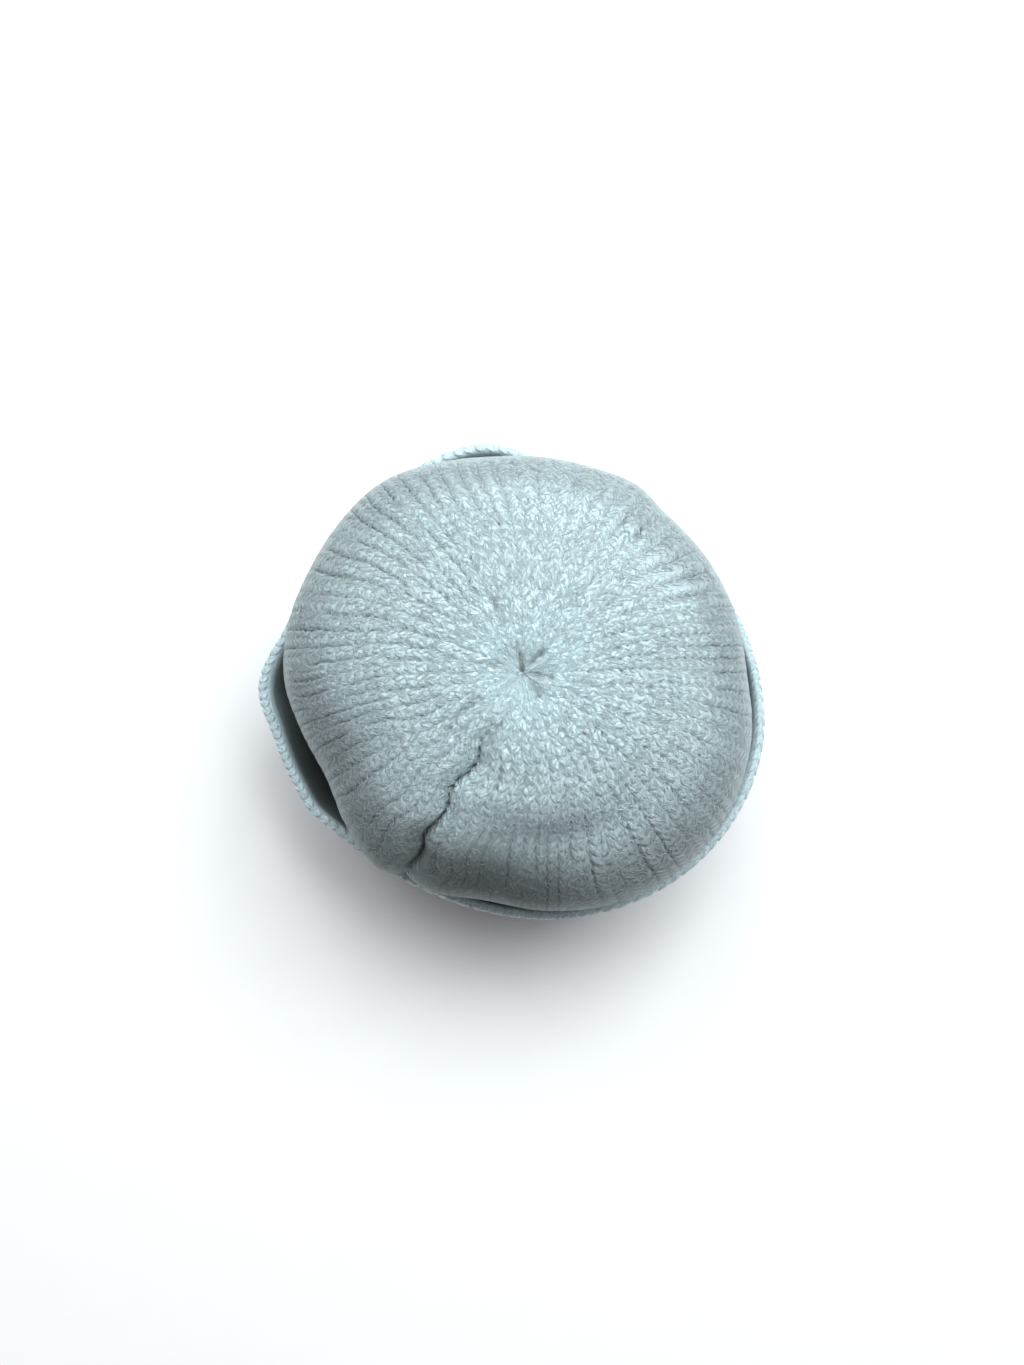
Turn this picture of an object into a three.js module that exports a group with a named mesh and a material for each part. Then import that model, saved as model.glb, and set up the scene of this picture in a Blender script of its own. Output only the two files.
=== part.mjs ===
// A wool beanie with a turned-up cuff, standing on the fold of its cuff with the crown up.
// It is one knitted tube, drawn together at the crown's centre and folded up at its lower edge.
// The crown is a hollow ribbed shell, and the cuff a band with a J section that it stands in.
// The closing yarn lies inside, where it draws the last stitches together.
// Millimetres, +Z up. The surface that the hat stands on is z = 0, and its box is centred on x = y = 0.
import * as THREE from "three";

// Driving sizes.
const CLOTH = 3.0; // thickness of the ribbed wool, from inner face to rib crest
const RIB_DEPTH = 0.9; // from a rib's crest to the groove beside it
const CROWN_TOP = 118; // height of the crown, but for the dimple at its centre
const SHOULDER_HEIGHT = 72; // where the crown is widest
const DOME_FULLNESS = 2.3; // 2 is an ellipse, and more is a flatter top with a rounder shoulder
const CENTRE_X = 2; // the drawn-up centre sits a little off the middle of the plan
const CENTRE_Y = -1.9;
const FOLD_RADIUS = 70.6; // outer radius of the cuff where it leaves the floor
const FOLD_X = 1.2; // centre of the fold's circle
const FOLD_Y = -1.0;
const SEAM_HEIGHT = 6; // where the crown's wall ends and the cuff's begins
const GAP = 0.3; // air left where two solids meet
const LAYER_GAP = 0.7; // least air between the crown's wall and the cuff that lies on it
const LIP_ROUND = 1.5; // radius of the cuff's rounded upper edge
const CUFF_BELLY = 1.3; // how far the cuff swells between its fold and its edge
const PLAN_CENTRE = new THREE.Vector3(0.8, -0.1, 0); // the plan's middle, seen from the box's

// The hat's plan, a row for each bearing in degrees, anticlockwise from +X seen from above.
// shoulder: the crown's outer radius where it is widest. lip: the outer radius of the cuff's edge.
// height: that of the cuff's edge. drift: how far a rib has swung round by the shoulder, in degrees.
const PLAN = [
  { bearing: 0, shoulder: 67.8, lip: 75.1, height: 58.0, drift: 0 },
  { bearing: 15, shoulder: 67.1, lip: 71.6, height: 58.5, drift: -5 },
  { bearing: 30, shoulder: 66.3, lip: 68.8, height: 58.5, drift: -8 },
  { bearing: 48, shoulder: 65.4, lip: 68.2, height: 58.0, drift: -3 },
  { bearing: 57, shoulder: 66.9, lip: 68.4, height: 57.5, drift: -1 },
  { bearing: 70, shoulder: 65.7, lip: 68.2, height: 57.5, drift: 2 },
  { bearing: 84, shoulder: 65.2, lip: 69.4, height: 58.5, drift: 4 },
  { bearing: 96, shoulder: 65.2, lip: 73.6, height: 59.5, drift: 5 },
  { bearing: 108, shoulder: 66.7, lip: 73.5, height: 59.0, drift: 6 },
  { bearing: 124, shoulder: 69.3, lip: 71.0, height: 58.0, drift: 5 },
  { bearing: 140, shoulder: 68.5, lip: 70.3, height: 57.5, drift: 6 },
  { bearing: 153, shoulder: 67.8, lip: 69.7, height: 57.5, drift: 9 },
  { bearing: 167, shoulder: 68.0, lip: 72.2, height: 58.0, drift: 9 },
  { bearing: 181, shoulder: 67.2, lip: 78.0, height: 58.5, drift: 6 },
  { bearing: 193, shoulder: 64.4, lip: 75.3, height: 58.0, drift: 3 },
  { bearing: 206, shoulder: 62.2, lip: 74.1, height: 57.5, drift: 0 },
  { bearing: 213, shoulder: 62.9, lip: 73.7, height: 57.0, drift: 0 },
  { bearing: 221, shoulder: 65.2, lip: 71.0, height: 56.5, drift: 0 },
  { bearing: 236, shoulder: 68.5, lip: 69.1, height: 56.5, drift: 0 },
  { bearing: 249, shoulder: 67.0, lip: 68.8, height: 57.0, drift: 0 },
  { bearing: 262, shoulder: 65.3, lip: 70.1, height: 57.5, drift: -1 },
  { bearing: 278, shoulder: 68.4, lip: 72.7, height: 58.0, drift: -4 },
  { bearing: 295, shoulder: 71.9, lip: 75.5, height: 58.0, drift: -10 },
  { bearing: 312, shoulder: 73.5, lip: 77.9, height: 57.5, drift: -5 },
  { bearing: 330, shoulder: 73.2, lip: 78.9, height: 57.5, drift: -3 },
  { bearing: 346, shoulder: 71.0, lip: 78.0, height: 57.5, drift: -1 },
];

// Soft hollows in the crown. along: distance from the crown's centre over the cloth.
// wide and tall: how far the hollow reaches round the crown and down it. depth: at its middle.
const HOLLOWS = [
  { name: "front", bearing: 288, along: 50, wide: 24, tall: 8, depth: 4.0 },
  { name: "back_right", bearing: 42, along: 52, wide: 22, tall: 9, depth: 2.2 },
  { name: "left", bearing: 203, along: 60, wide: 20, tall: 14, depth: 1.6 },
  { name: "back", bearing: 100, along: 68, wide: 16, tall: 8, depth: 1.2 },
];

// The deep pleat that runs down the crown's front left between two ribs, which sway with it.
const PLEAT = { bearing: 240, depth: 6.5, width: 3, from: 12, full: 30, fade: 84, gone: 104 };
const SWAY = { lean: 2.5, by: 1.1, length: 19.3, crest: 28.7, wide: 22 }; // lean in degrees

// The ribs run from the cuff to the crown's centre, and are decreased in rounds.
// from: distance from the centre at which a round begins. ribs: how many there are beyond it.
const ROUNDS = [
  { from: 0, ribs: 16 },
  { from: 10, ribs: 32 },
  { from: 21, ribs: 48 },
  { from: 37, ribs: 72 },
];
const DIMPLE = { depth: 3.4, reach: 6 }; // where the last stitches are drawn together
const GATHERS = { count: 8, depth: 0.9, along: 8, reach: 5 }; // creases that run out from the dimple

// Distances from the centre, over the cloth, of the rings that the crown's two faces pass through.
const OUTER_RINGS = [
  3.5, 9, 15, 20, 26, 31, 37, 43, 49, 55, 61, 68, 76, 85, 94, 102, 108, 113, 124, 140,
];
const INNER_RINGS = [138, 116, 106, 94, 80, 66, 52, 38, 25, 16, 8];
const INNER_SIDES = 48;

const BODY_RIBS = ROUNDS.at(-1).ribs;
const DEGREE = Math.PI / 180;
const TURN = 2 * Math.PI;

const mix = THREE.MathUtils.lerp;
const smoothstep = THREE.MathUtils.smoothstep;
const bell = (x) => Math.exp(-x * x);

// A column of the plan as a smooth periodic function of the bearing in radians.
function planCurve(column) {
  const at = (i) => {
    const lap = Math.floor(i / PLAN.length);
    const row = PLAN[i - lap * PLAN.length];
    return { x: (row.bearing + 360 * lap) * DEGREE, y: row[column] };
  };
  return (bearing) => {
    const x = THREE.MathUtils.euclideanModulo(bearing, TURN);
    const i = PLAN.findLastIndex((row) => row.bearing * DEGREE <= x);
    const [a, b, c, d] = [at(i - 1), at(i), at(i + 1), at(i + 2)];
    const span = c.x - b.x;
    const t = (x - b.x) / span;
    const leave = ((c.y - a.y) / (c.x - a.x)) * span;
    const arrive = ((d.y - b.y) / (d.x - b.x)) * span;
    const bend = 2 * (b.y - c.y) + leave + arrive;
    return b.y + t * (leave + t * (3 * (c.y - b.y) - 2 * leave - arrive + t * bend));
  };
}
const shoulderRadius = planCurve("shoulder");
const lipRadius = planCurve("lip");
const lipHeight = planCurve("height");
const ribDrift = planCurve("drift");
const MEAN_SHOULDER = PLAN.reduce((sum, row) => sum + row.shoulder, 0) / PLAN.length;

// Outer radius of the fold's circle about the plan's own middle.
const foldRadius = (bearing) => FOLD_RADIUS + FOLD_X * Math.cos(bearing) + FOLD_Y * Math.sin(bearing);

// Outer radius of the cuff at a height.
function cuffRadius(bearing, z) {
  const rise = THREE.MathUtils.clamp(z / lipHeight(bearing), 0, 1);
  const swell = CUFF_BELLY * Math.sin(Math.PI * Math.pow(rise, 0.7));
  return mix(foldRadius(bearing), lipRadius(bearing), Math.pow(rise, 1.6)) + swell;
}

// Outer radius of the crown's wall below the shoulder, kept inside the cuff where that covers it.
function wallRadius(bearing, z) {
  const under = cuffRadius(bearing, z) - CLOTH - LAYER_GAP;
  const foot = foldRadius(bearing) - CLOTH - LAYER_GAP;
  const free = mix(foot, shoulderRadius(bearing) - 0.6, smoothstep(z, SEAM_HEIGHT, 50));
  const covered = Math.min(under, free);
  const clearOfLip = smoothstep(z, lipHeight(bearing) + 1, SHOULDER_HEIGHT);
  return mix(covered, shoulderRadius(bearing), clearOfLip);
}

// The mean meridian, from the crown's centre over the shoulder and down to the seam.
const meridian = (() => {
  const points = [];
  const domeSteps = 14;
  for (let i = 0; i <= domeSteps; i++) {
    const angle = (i / domeSteps) * (Math.PI / 2);
    const reach = Math.pow(Math.sin(angle), 2 / DOME_FULLNESS);
    points.push(
      new THREE.Vector2(
        MEAN_SHOULDER * reach,
        mix(SHOULDER_HEIGHT, CROWN_TOP, Math.cos(angle)),
      ),
    );
  }
  for (const z of [60, 45, 30, 15, SEAM_HEIGHT]) points.push(new THREE.Vector2(MEAN_SHOULDER, z));
  const curve = new THREE.SplineCurve(points);
  curve.arcLengthDivisions = 400;
  return curve;
})();
const MERIDIAN_LENGTH = meridian.getLength();

// Distance round the crown from one bearing to another.
const arc = (from, to, along) =>
  Math.atan2(Math.sin(to - from), Math.cos(to - from)) * Math.min(along, MEAN_SHOULDER);

// How far the pleat has opened, from 0 at its ends to 1.
const pleatShare = (along) =>
  smoothstep(along, PLEAT.from, PLEAT.full) * (1 - smoothstep(along, PLEAT.fade, PLEAT.gone));

// The bearing, at a distance from the centre, of the rib that leaves the centre at bearing `rib`.
function ribBearing(rib, along) {
  const fromPleat = arc(PLEAT.bearing * DEGREE, rib, along);
  const phase = ((along - SWAY.crest) / SWAY.length) * TURN;
  const leaned = SWAY.lean * DEGREE * Math.min(along, MEAN_SHOULDER);
  const sway = (leaned + SWAY.by * Math.cos(phase)) * bell(fromPleat / SWAY.wide);
  const swung = (sway * pleatShare(along)) / Math.max(along, PLEAT.from);
  return rib + swung + ribDrift(rib) * DEGREE * smoothstep(along, 18, 66);
}

// How deep the hollows, pleat, dimple and gathers lie under the plain crown, on a rib.
function sunk(rib, along) {
  const bearing = ribBearing(rib, along);
  let depth = DIMPLE.depth * bell(along / DIMPLE.reach);
  const gathered = bell((along - GATHERS.along) / GATHERS.reach);
  depth += GATHERS.depth * gathered * 0.5 * (1 + Math.cos(GATHERS.count * rib));
  for (const h of HOLLOWS) {
    const across = arc(h.bearing * DEGREE, bearing, along) / h.wide;
    depth += h.depth * bell(across) * bell((along - h.along) / h.tall);
  }
  const fromPleat = Math.abs(arc(PLEAT.bearing * DEGREE, rib, along));
  return depth + PLEAT.depth * pleatShare(along) * Math.exp(-fromPleat / PLEAT.width);
}

// A point of the crown's plain outer face.
function plainCrown(bearing, along) {
  const { x: radius, y: z } = meridian.getPointAt(Math.min(1, along / MERIDIAN_LENGTH));
  const reach = radius / MEAN_SHOULDER;
  const r =
    z > SHOULDER_HEIGHT
      ? reach * mix(MEAN_SHOULDER, shoulderRadius(bearing), smoothstep(reach, 0.1, 0.95))
      : wallRadius(bearing, z);
  const shift = 1 - smoothstep(reach, 0.1, 0.9);
  const x = r * Math.cos(bearing) + CENTRE_X * shift;
  return new THREE.Vector3(x, r * Math.sin(bearing) + CENTRE_Y * shift, z);
}

// A point of a rib that lies `inset` under the crown's outer face, square to it.
function crownPoint(rib, along, inset) {
  const at = ribBearing(rib, along);
  const point = plainCrown(at, along);
  const step = 0.5;
  const down = plainCrown(at, along + step).sub(plainCrown(at, Math.max(0.01, along - step)));
  const round = plainCrown(at + 0.01, along).sub(plainCrown(at - 0.01, along));
  const outward = down.cross(round).normalize();
  return point.addScaledVector(outward, -(inset + sunk(rib, along)));
}

// A ring of points, as many as `sides`, numbered from bearing 0.
const ring = (sides, pointAt) =>
  Array.from({ length: sides }, (_, i) => pointAt((i / sides) * TURN, i));

// The closed skin through a list of rings. A ring of one point closes an end; otherwise the last
// ring joins the first. Neighbouring rings may have different numbers of points.
function skin(rings) {
  const positions = [];
  const faces = [];
  const starts = rings.map((points) => {
    const start = positions.length / 3;
    for (const p of points) positions.push(p.x, p.y, p.z);
    return start;
  });
  const closesOnItself = rings[0].length > 1;
  const pairs = rings.length - (closesOnItself ? 0 : 1);
  for (let k = 0; k < pairs; k++) {
    const next = (k + 1) % rings.length;
    const [na, nb] = [rings[k].length, rings[next].length];
    const a = (i) => starts[k] + (i % na);
    const b = (j) => starts[next] + (j % nb);
    const [endA, endB] = [na > 1 ? na : 0, nb > 1 ? nb : 0];
    let [i, j] = [0, 0];
    while (i < endA || j < endB) {
      const onA = i < endA && (j >= endB || (i + 1) / na <= (j + 1) / nb);
      faces.push(a(i), b(j), onA ? a(i + 1) : b(j + 1));
      if (onA) i++;
      else j++;
    }
  }
  const geometry = new THREE.BufferGeometry();
  geometry.setAttribute("position", new THREE.Float32BufferAttribute(positions, 3));
  geometry.setIndex(faces);
  geometry.computeVertexNormals();
  return geometry;
}

// Every second point of a ribbed ring lies in a groove.
const grooved = (i, depth) => (i % 2 === 0 ? depth : 0);

function crownGeometry() {
  const rings = [[crownPoint(0, 0.01, 0)]];
  for (const along of OUTER_RINGS) {
    const round = ROUNDS.findLast((r) => r.from <= along);
    const depth = RIB_DEPTH * smoothstep(along, 2, 14);
    rings.push(ring(2 * round.ribs, (t, i) => crownPoint(t, along, grooved(i, depth))));
  }
  const end = MERIDIAN_LENGTH;
  rings.push(ring(2 * BODY_RIBS, (t, i) => crownPoint(t, end, grooved(i, RIB_DEPTH))));
  rings.push(ring(INNER_SIDES, (t) => crownPoint(t, end, CLOTH)));
  for (const along of INNER_RINGS)
    rings.push(ring(INNER_SIDES, (t) => crownPoint(t, along, CLOTH)));
  rings.push([crownPoint(0, 0.01, CLOTH)]);
  return skin(rings);
}

// The cuff's section, walked from the seam down its inner leg, round the fold and up to its edge.
// inward: distance in from the fold's outer radius. ribbed: whether the row shows the ribs.
const LEG = CLOTH + LAYER_GAP; // how far in the outer face of the inner leg lies
const FOLD_BOTTOM = [
  { name: "seam_inside", inward: LEG + CLOTH, z: SEAM_HEIGHT - GAP, ribbed: false },
  { name: "heel_inside", inward: LEG + CLOTH - 0.1, z: 2.8, ribbed: false },
  { name: "heel_turn", inward: LEG + CLOTH - 0.8, z: 0.8, ribbed: false },
  { name: "floor_inside", inward: LEG + 1.2, z: 0, ribbed: false },
  { name: "floor_outside", inward: 1.8, z: 0, ribbed: false },
  { name: "toe_turn", inward: 0.5, z: 1.1, ribbed: true },
];
const FACE_HEIGHTS = [4, 12, 22, 32, 42, 51]; // rings of the cuff's outer face, below its edge
const BACK_HEIGHTS = [48, 34, 20, 8]; // rings of the cuff's face that lies on the crown
const FOLD_INSIDE = [
  { name: "crotch_outside", inward: CLOTH - 0.2, z: 4.5 },
  { name: "crotch_inside", inward: LEG - 0.1, z: 4.5 },
  { name: "seam_outside", inward: LEG, z: SEAM_HEIGHT - GAP },
];

function cuffGeometry() {
  const at = (bearing, radius, z) =>
    new THREE.Vector3(radius * Math.cos(bearing), radius * Math.sin(bearing), z);
  const ribSides = 2 * BODY_RIBS;
  const turned = (rib) => ribBearing(rib, MERIDIAN_LENGTH);
  const foldRing = (row) =>
    ring(row.ribbed ? ribSides : BODY_RIBS, (t, i) => {
      const groove = row.ribbed ? grooved(i, RIB_DEPTH) : 0;
      return at(turned(t), foldRadius(turned(t)) - row.inward - groove, row.z);
    });
  const faceRing = (sides, height, inset, groove) =>
    ring(sides, (t, i) => {
      const bearing = turned(t);
      const z = height(bearing);
      return at(bearing, cuffRadius(bearing, z) - inset - grooved(i, groove), z);
    });
  const edge = (drop) => (bearing) => lipHeight(bearing) - drop;
  const section = [
    ...FOLD_BOTTOM.map(foldRing),
    ...FACE_HEIGHTS.map((z) => faceRing(ribSides, () => z, 0, RIB_DEPTH)),
    faceRing(ribSides, edge(LIP_ROUND), 0, 0.4 * RIB_DEPTH),
    faceRing(ribSides, edge(0.3 * LIP_ROUND), 0.3 * LIP_ROUND, 0.3 * RIB_DEPTH),
    faceRing(ribSides, edge(0), LIP_ROUND, 0),
    faceRing(BODY_RIBS, edge(LIP_ROUND), CLOTH, 0),
    ...BACK_HEIGHTS.map((z) => faceRing(BODY_RIBS, () => z, CLOTH, 0)),
    ...FOLD_INSIDE.map(foldRing),
  ];
  return skin(section.reverse());
}

// The yarn that draws the last stitches together. It makes a coil under the crown's centre, and
// its end is laid out over the crown's inner face. coil: the share of its steps in the coil.
const CLOSING = { thick: 1.8, inner: 2.8, outer: 6.4, turns: 1.7, coil: 0.7, tail: 24, bearing: 150 };
const CLOSING_STEPS = 56;

function closingYarnGeometry() {
  const clear = CLOTH + 2 * GAP + CLOSING.thick / 2;
  const points = [];
  for (let i = 0; i <= CLOSING_STEPS; i++) {
    const t = i / CLOSING_STEPS;
    const coiled = Math.min(1, t / CLOSING.coil);
    const laid = Math.max(0, (t - CLOSING.coil) / (1 - CLOSING.coil));
    const along = mix(mix(CLOSING.inner, CLOSING.outer, coiled), CLOSING.tail, laid);
    const bend = 0.5 * Math.sin((laid * Math.PI) / 2);
    const bearing = CLOSING.bearing * DEGREE - CLOSING.turns * TURN * (1 - coiled) + bend;
    points.push(crownPoint(bearing, along, clear));
  }
  const strand = new THREE.Shape().absarc(0, 0, CLOSING.thick / 2, 0, TURN);
  return new THREE.ExtrudeGeometry(strand, {
    steps: CLOSING_STEPS,
    curveSegments: 3,
    bevelEnabled: false,
    extrudePath: new THREE.CatmullRomCurve3(points),
  });
}

const WOOL = { color: new THREE.Color(0.64, 0.78, 0.8), roughness: 0.95, metalness: 0 };

function namedMesh(name, geometry) {
  const mesh = new THREE.Mesh(geometry, new THREE.MeshStandardMaterial(WOOL));
  mesh.name = name;
  mesh.position.copy(PLAN_CENTRE);
  return mesh;
}

const beanie = new THREE.Group();
beanie.add(namedMesh("crown", crownGeometry()));
beanie.add(namedMesh("cuff", cuffGeometry()));
beanie.add(namedMesh("closing_yarn", closingYarnGeometry()));

export default beanie;
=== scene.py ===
"""Looks of a wool beanie: ribbed cloth, knit stitches, the cuff's edge chain and loose nap, with
painted light and shade in their tones.
"""
import logging
import math
from collections.abc import Callable
from dataclasses import dataclass, field
from enum import Enum

import bpy
import numpy as np
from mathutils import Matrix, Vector


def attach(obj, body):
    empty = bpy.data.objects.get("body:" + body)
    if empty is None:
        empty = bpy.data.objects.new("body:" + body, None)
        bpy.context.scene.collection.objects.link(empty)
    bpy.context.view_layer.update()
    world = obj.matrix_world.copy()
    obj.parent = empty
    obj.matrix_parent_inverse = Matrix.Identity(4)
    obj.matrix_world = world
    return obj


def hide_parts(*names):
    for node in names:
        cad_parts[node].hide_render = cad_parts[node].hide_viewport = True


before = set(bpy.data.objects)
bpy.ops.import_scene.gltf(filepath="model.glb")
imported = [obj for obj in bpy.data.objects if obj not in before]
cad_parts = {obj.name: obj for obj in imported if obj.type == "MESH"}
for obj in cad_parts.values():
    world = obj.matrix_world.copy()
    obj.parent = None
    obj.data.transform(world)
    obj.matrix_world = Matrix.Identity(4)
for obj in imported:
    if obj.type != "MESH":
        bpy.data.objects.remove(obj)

log = logging.getLogger("beanie")

Array = np.ndarray
Colour = tuple[float, float, float]
Place = tuple[float, float, float]
Span = tuple[float, float]
MM = 0.001
DEGREE = math.pi / 180
TURN = 2 * math.pi
# the colour that painted shade darkens the wool towards
BLACK: Colour = (0.0, 0.0, 0.0)
BODY = "root"
BAKE_MAP = "OFBake"
KNIT_MAP = "knit"
HAIR = 0.01 * MM  # how near to the crown's pole a point is put
NOISE_ROWS = 256  # how many cells a noise has down the cloth


# ---------------------------------------------------------------- the hat's form


@dataclass(frozen=True)
class PlanRow:
    """One bearing of the plan: angles in degrees, lengths in millimetres."""

    bearing: float
    shoulder: float
    lip: float
    height: float
    drift: float


PLAN = (
    PlanRow(0, 67.8, 75.1, 58.0, 0),
    PlanRow(15, 67.1, 71.6, 58.5, -5),
    PlanRow(30, 66.3, 68.8, 58.5, -8),
    PlanRow(48, 65.4, 68.2, 58.0, -3),
    PlanRow(57, 66.9, 68.4, 57.5, -1),
    PlanRow(70, 65.7, 68.2, 57.5, 2),
    PlanRow(84, 65.2, 69.4, 58.5, 4),
    PlanRow(96, 65.2, 73.6, 59.5, 5),
    PlanRow(108, 66.7, 73.5, 59.0, 6),
    PlanRow(124, 69.3, 71.0, 58.0, 5),
    PlanRow(140, 68.5, 70.3, 57.5, 6),
    PlanRow(153, 67.8, 69.7, 57.5, 9),
    PlanRow(167, 68.0, 72.2, 58.0, 9),
    PlanRow(181, 67.2, 78.0, 58.5, 6),
    PlanRow(193, 64.4, 75.3, 58.0, 3),
    PlanRow(206, 62.2, 74.1, 57.5, 0),
    PlanRow(213, 62.9, 73.7, 57.0, 0),
    PlanRow(221, 65.2, 71.0, 56.5, 0),
    PlanRow(236, 68.5, 69.1, 56.5, 0),
    PlanRow(249, 67.0, 68.8, 57.0, 0),
    PlanRow(262, 65.3, 70.1, 57.5, -1),
    PlanRow(278, 68.4, 72.7, 58.0, -4),
    PlanRow(295, 71.9, 75.5, 58.0, -10),
    PlanRow(312, 73.5, 77.9, 57.5, -5),
    PlanRow(330, 73.2, 78.9, 57.5, -3),
    PlanRow(346, 71.0, 78.0, 57.5, -1),
)


@dataclass(frozen=True)
class Hollow:
    """A soft hollow in the crown: bearing in degrees, lengths in metres."""

    bearing: float
    along: float
    wide: float
    tall: float
    depth: float


HOLLOWS = (
    Hollow(288, 50 * MM, 24 * MM, 8 * MM, 4.0 * MM),
    Hollow(42, 52 * MM, 22 * MM, 9 * MM, 2.2 * MM),
    Hollow(203, 60 * MM, 20 * MM, 14 * MM, 1.6 * MM),
    Hollow(100, 68 * MM, 16 * MM, 8 * MM, 1.2 * MM),
)


@dataclass(frozen=True)
class Crease:
    """A short sharp crease: bearings in degrees at its ends, lengths in metres."""

    bearings: tuple[float, float]
    alongs: tuple[float, float]
    depth: float
    width: float = 0.9 * MM


CREASES = (
    Crease((98, 105), (1.5 * MM, 7 * MM), 1.5 * MM, 0.8 * MM),
    Crease((52, 46), (4 * MM, 6.8 * MM), 1.5 * MM, 0.9 * MM),
    Crease((352, 350), (3.5 * MM, 7.5 * MM), 1.2 * MM, 0.8 * MM),
    Crease((309, 305), (5 * MM, 7.5 * MM), 1.5 * MM, 1.1 * MM),
    Crease((163, 171), (6 * MM, 12 * MM), 0.7 * MM, 1.1 * MM),
    Crease((110, 111), (14 * MM, 20 * MM), 0.6 * MM),
    Crease((211, 217), (13 * MM, 25 * MM), 0.7 * MM),
    Crease((255, 256), (27 * MM, 33 * MM), 0.7 * MM),
    Crease((252, 243), (10 * MM, 20 * MM), 0.7 * MM),
    Crease((54, 54.5), (53 * MM, 56.5 * MM), 1.2 * MM, 0.4 * MM),
    Crease((50, 50.5), (56.5 * MM, 59 * MM), 1.0 * MM, 0.4 * MM),
)


OPENINGS = (
    (0, 0.9), (20, 0.9), (38, 0.4), (60, 0.15), (85, 0.25), (100, 0.6), (118, 1.0), (150, 1.0),
    (185, 0.9), (212, 0.8), (235, 0.5), (262, 0.4), (285, 0.7), (320, 0.8), (345, 0.7), (360, 0.9),
)  # how far the grooves open at each bearing in degrees, from 0 to 1


PLUMPNESS = (
    (0, 0.5), (8, 0.55), (20, 0.42), (30, 0.22), (40, 0.1), (50, 0.06), (98, 0.1), (108, 0.4),
)  # how far the stitches stand out at each distance from the centre in millimetres, from 0 to 1


@dataclass(frozen=True)
class Round:
    """How many ribs there are beyond a distance from the crown's centre."""

    start: float
    ribs: int


ROUNDS = (
    Round(0, 16),
    Round(12.5 * MM, 32),
    Round(22.5 * MM, 48),
    Round(37 * MM, 72),
)
BODY_RIBS = ROUNDS[-1].ribs
ROW = 2.95 * MM
RIB_STEPS = (0.0, 0.07, 0.27, 0.5, 0.73, 0.93)


@dataclass(frozen=True)
class Grooves:
    """The grooves between the ribs and the round of each rib.

    Attributes:
        depth: how deep an open groove is.
        width: how fast it closes to each side.
        rib_round: how far a rib's sides fall from its middle.
        round_power: how sharply they fall.
        round_in: where the ribs begin to be round.
        round_out: where they flatten again.
        round_lost: how much of the round is lost there.
        gain: how much a bearing's own opening counts against chance.
        offset: what chance has to pass for a groove to open.
        soft: how gradually it opens.
        least: how open a closed groove still is.
        even: how open every groove is where they are steady.
        starts: where the grooves begin.
        step_reach: how far a change in the count of ribs is felt.
        step_lost: how much of the depth is lost at such a change.
        wall: where the grooves fade down the wall.
        wall_lost: how much of them is lost there.
        felt_lost: how much of the round the nap hides.
        cuff_steady: how steady the cuff's grooves are.
    """

    depth: float = 0.85 * MM
    width: float = 0.24 * MM
    rib_round: float = 0.4 * MM
    round_power: float = 2.5
    round_in: Span = (2 * MM, 16 * MM)
    round_out: Span = (22 * MM, 36 * MM)
    round_lost: float = 0.5
    gain: float = 0.6
    offset: float = 0.25
    soft: float = 0.35
    least: float = 0.08
    even: float = 0.4
    starts: Span = (10 * MM, 27 * MM)
    step_reach: float = 1.5 * MM
    step_lost: float = 0.6
    wall: Span = (62 * MM, 82 * MM)
    wall_lost: float = 0.75
    felt_lost: float = 0.85
    cuff_steady: float = 0.85


@dataclass(frozen=True)
class NapAndShade:
    """How the brushed wool's nap changes over the crown, and the painted light and shade laid on
    it, in shares and in distances over the cloth.

    Attributes:
        felt: where the nap comes to hide the ribs.
        felt_lost: how much of that is lost inside the cuff.
        inside: where the crown passes into the cuff.
        inside_dim: how much painted shade darkens it there.
        plump_back: how plump the stitches are behind.
        plump_front: how plump they are in front.
        plump_bearing: the bearing behind that is the least plump.
        mat_in: where the stitches sink in the nap.
        mat_out: where they stand out again.
        mat_most: how far they are sunk, less what the grooves open.
        mat_limits: the least and the most of it.
        front_dim: how much painted shade darkens the front of the shoulder.
        front_bearing: the bearing at its middle.
        front_wide: how wide it is.
        front_in: where it begins.
        edge_dim: how much painted shade darkens the whole shoulder.
        edge_in: where it begins.
        wall: where both fade down the wall.
        wall_lost: how much of them is lost there.
        crease_dim: how much painted shade darkens a crease for each millimetre of its depth.
        crease_most: the depth in millimetres past which it is no darker.
        slit_dim: how much painted shade darkens the pleat's slit.
        glow: how much painted light brightens the middle.
        glow_reach: how far that goes.
        halo: how much painted light brightens the cloth round it.
        halo_reach: how far that goes.
        pinch_dim: how much painted shade darkens the drawn-in centre.
        pinch_reach: how far that goes.
        least: the least that the painted shade leaves anywhere.
    """

    felt: Span = (38 * MM, 62 * MM)
    felt_lost: float = 0.45
    inside: Span = (94 * MM, 106 * MM)
    inside_dim: float = 0.6
    plump_back: float = 0.7
    plump_front: float = 1.1
    plump_bearing: float = 75 * DEGREE
    mat_in: Span = (34 * MM, 48 * MM)
    mat_out: Span = (66 * MM, 76 * MM)
    mat_most: float = 1.3
    mat_limits: Span = (0.2, 1.0)
    front_dim: float = 0.38
    front_bearing: float = 262 * DEGREE
    front_wide: float = 50 * DEGREE
    front_in: Span = (34 * MM, 60 * MM)
    edge_dim: float = 0.29
    edge_in: Span = (46 * MM, 64 * MM)
    wall: Span = (68 * MM, 102 * MM)
    wall_lost: float = 0.8
    crease_dim: float = 0.4
    crease_most: float = 1.5
    slit_dim: float = 0.36
    glow: float = 0.62
    glow_reach: float = 12 * MM
    halo: float = 0.2
    halo_reach: float = 34 * MM
    pinch_dim: float = 0.7
    pinch_reach: float = 1.2 * MM
    least: float = 0.1


def smoothstep(x: Array, low: float, high: float) -> Array:
    """A smooth rise from 0 at low to 1 at high."""
    t = np.clip((x - low) / (high - low), 0.0, 1.0)
    return t * t * (3 - 2 * t)


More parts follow.
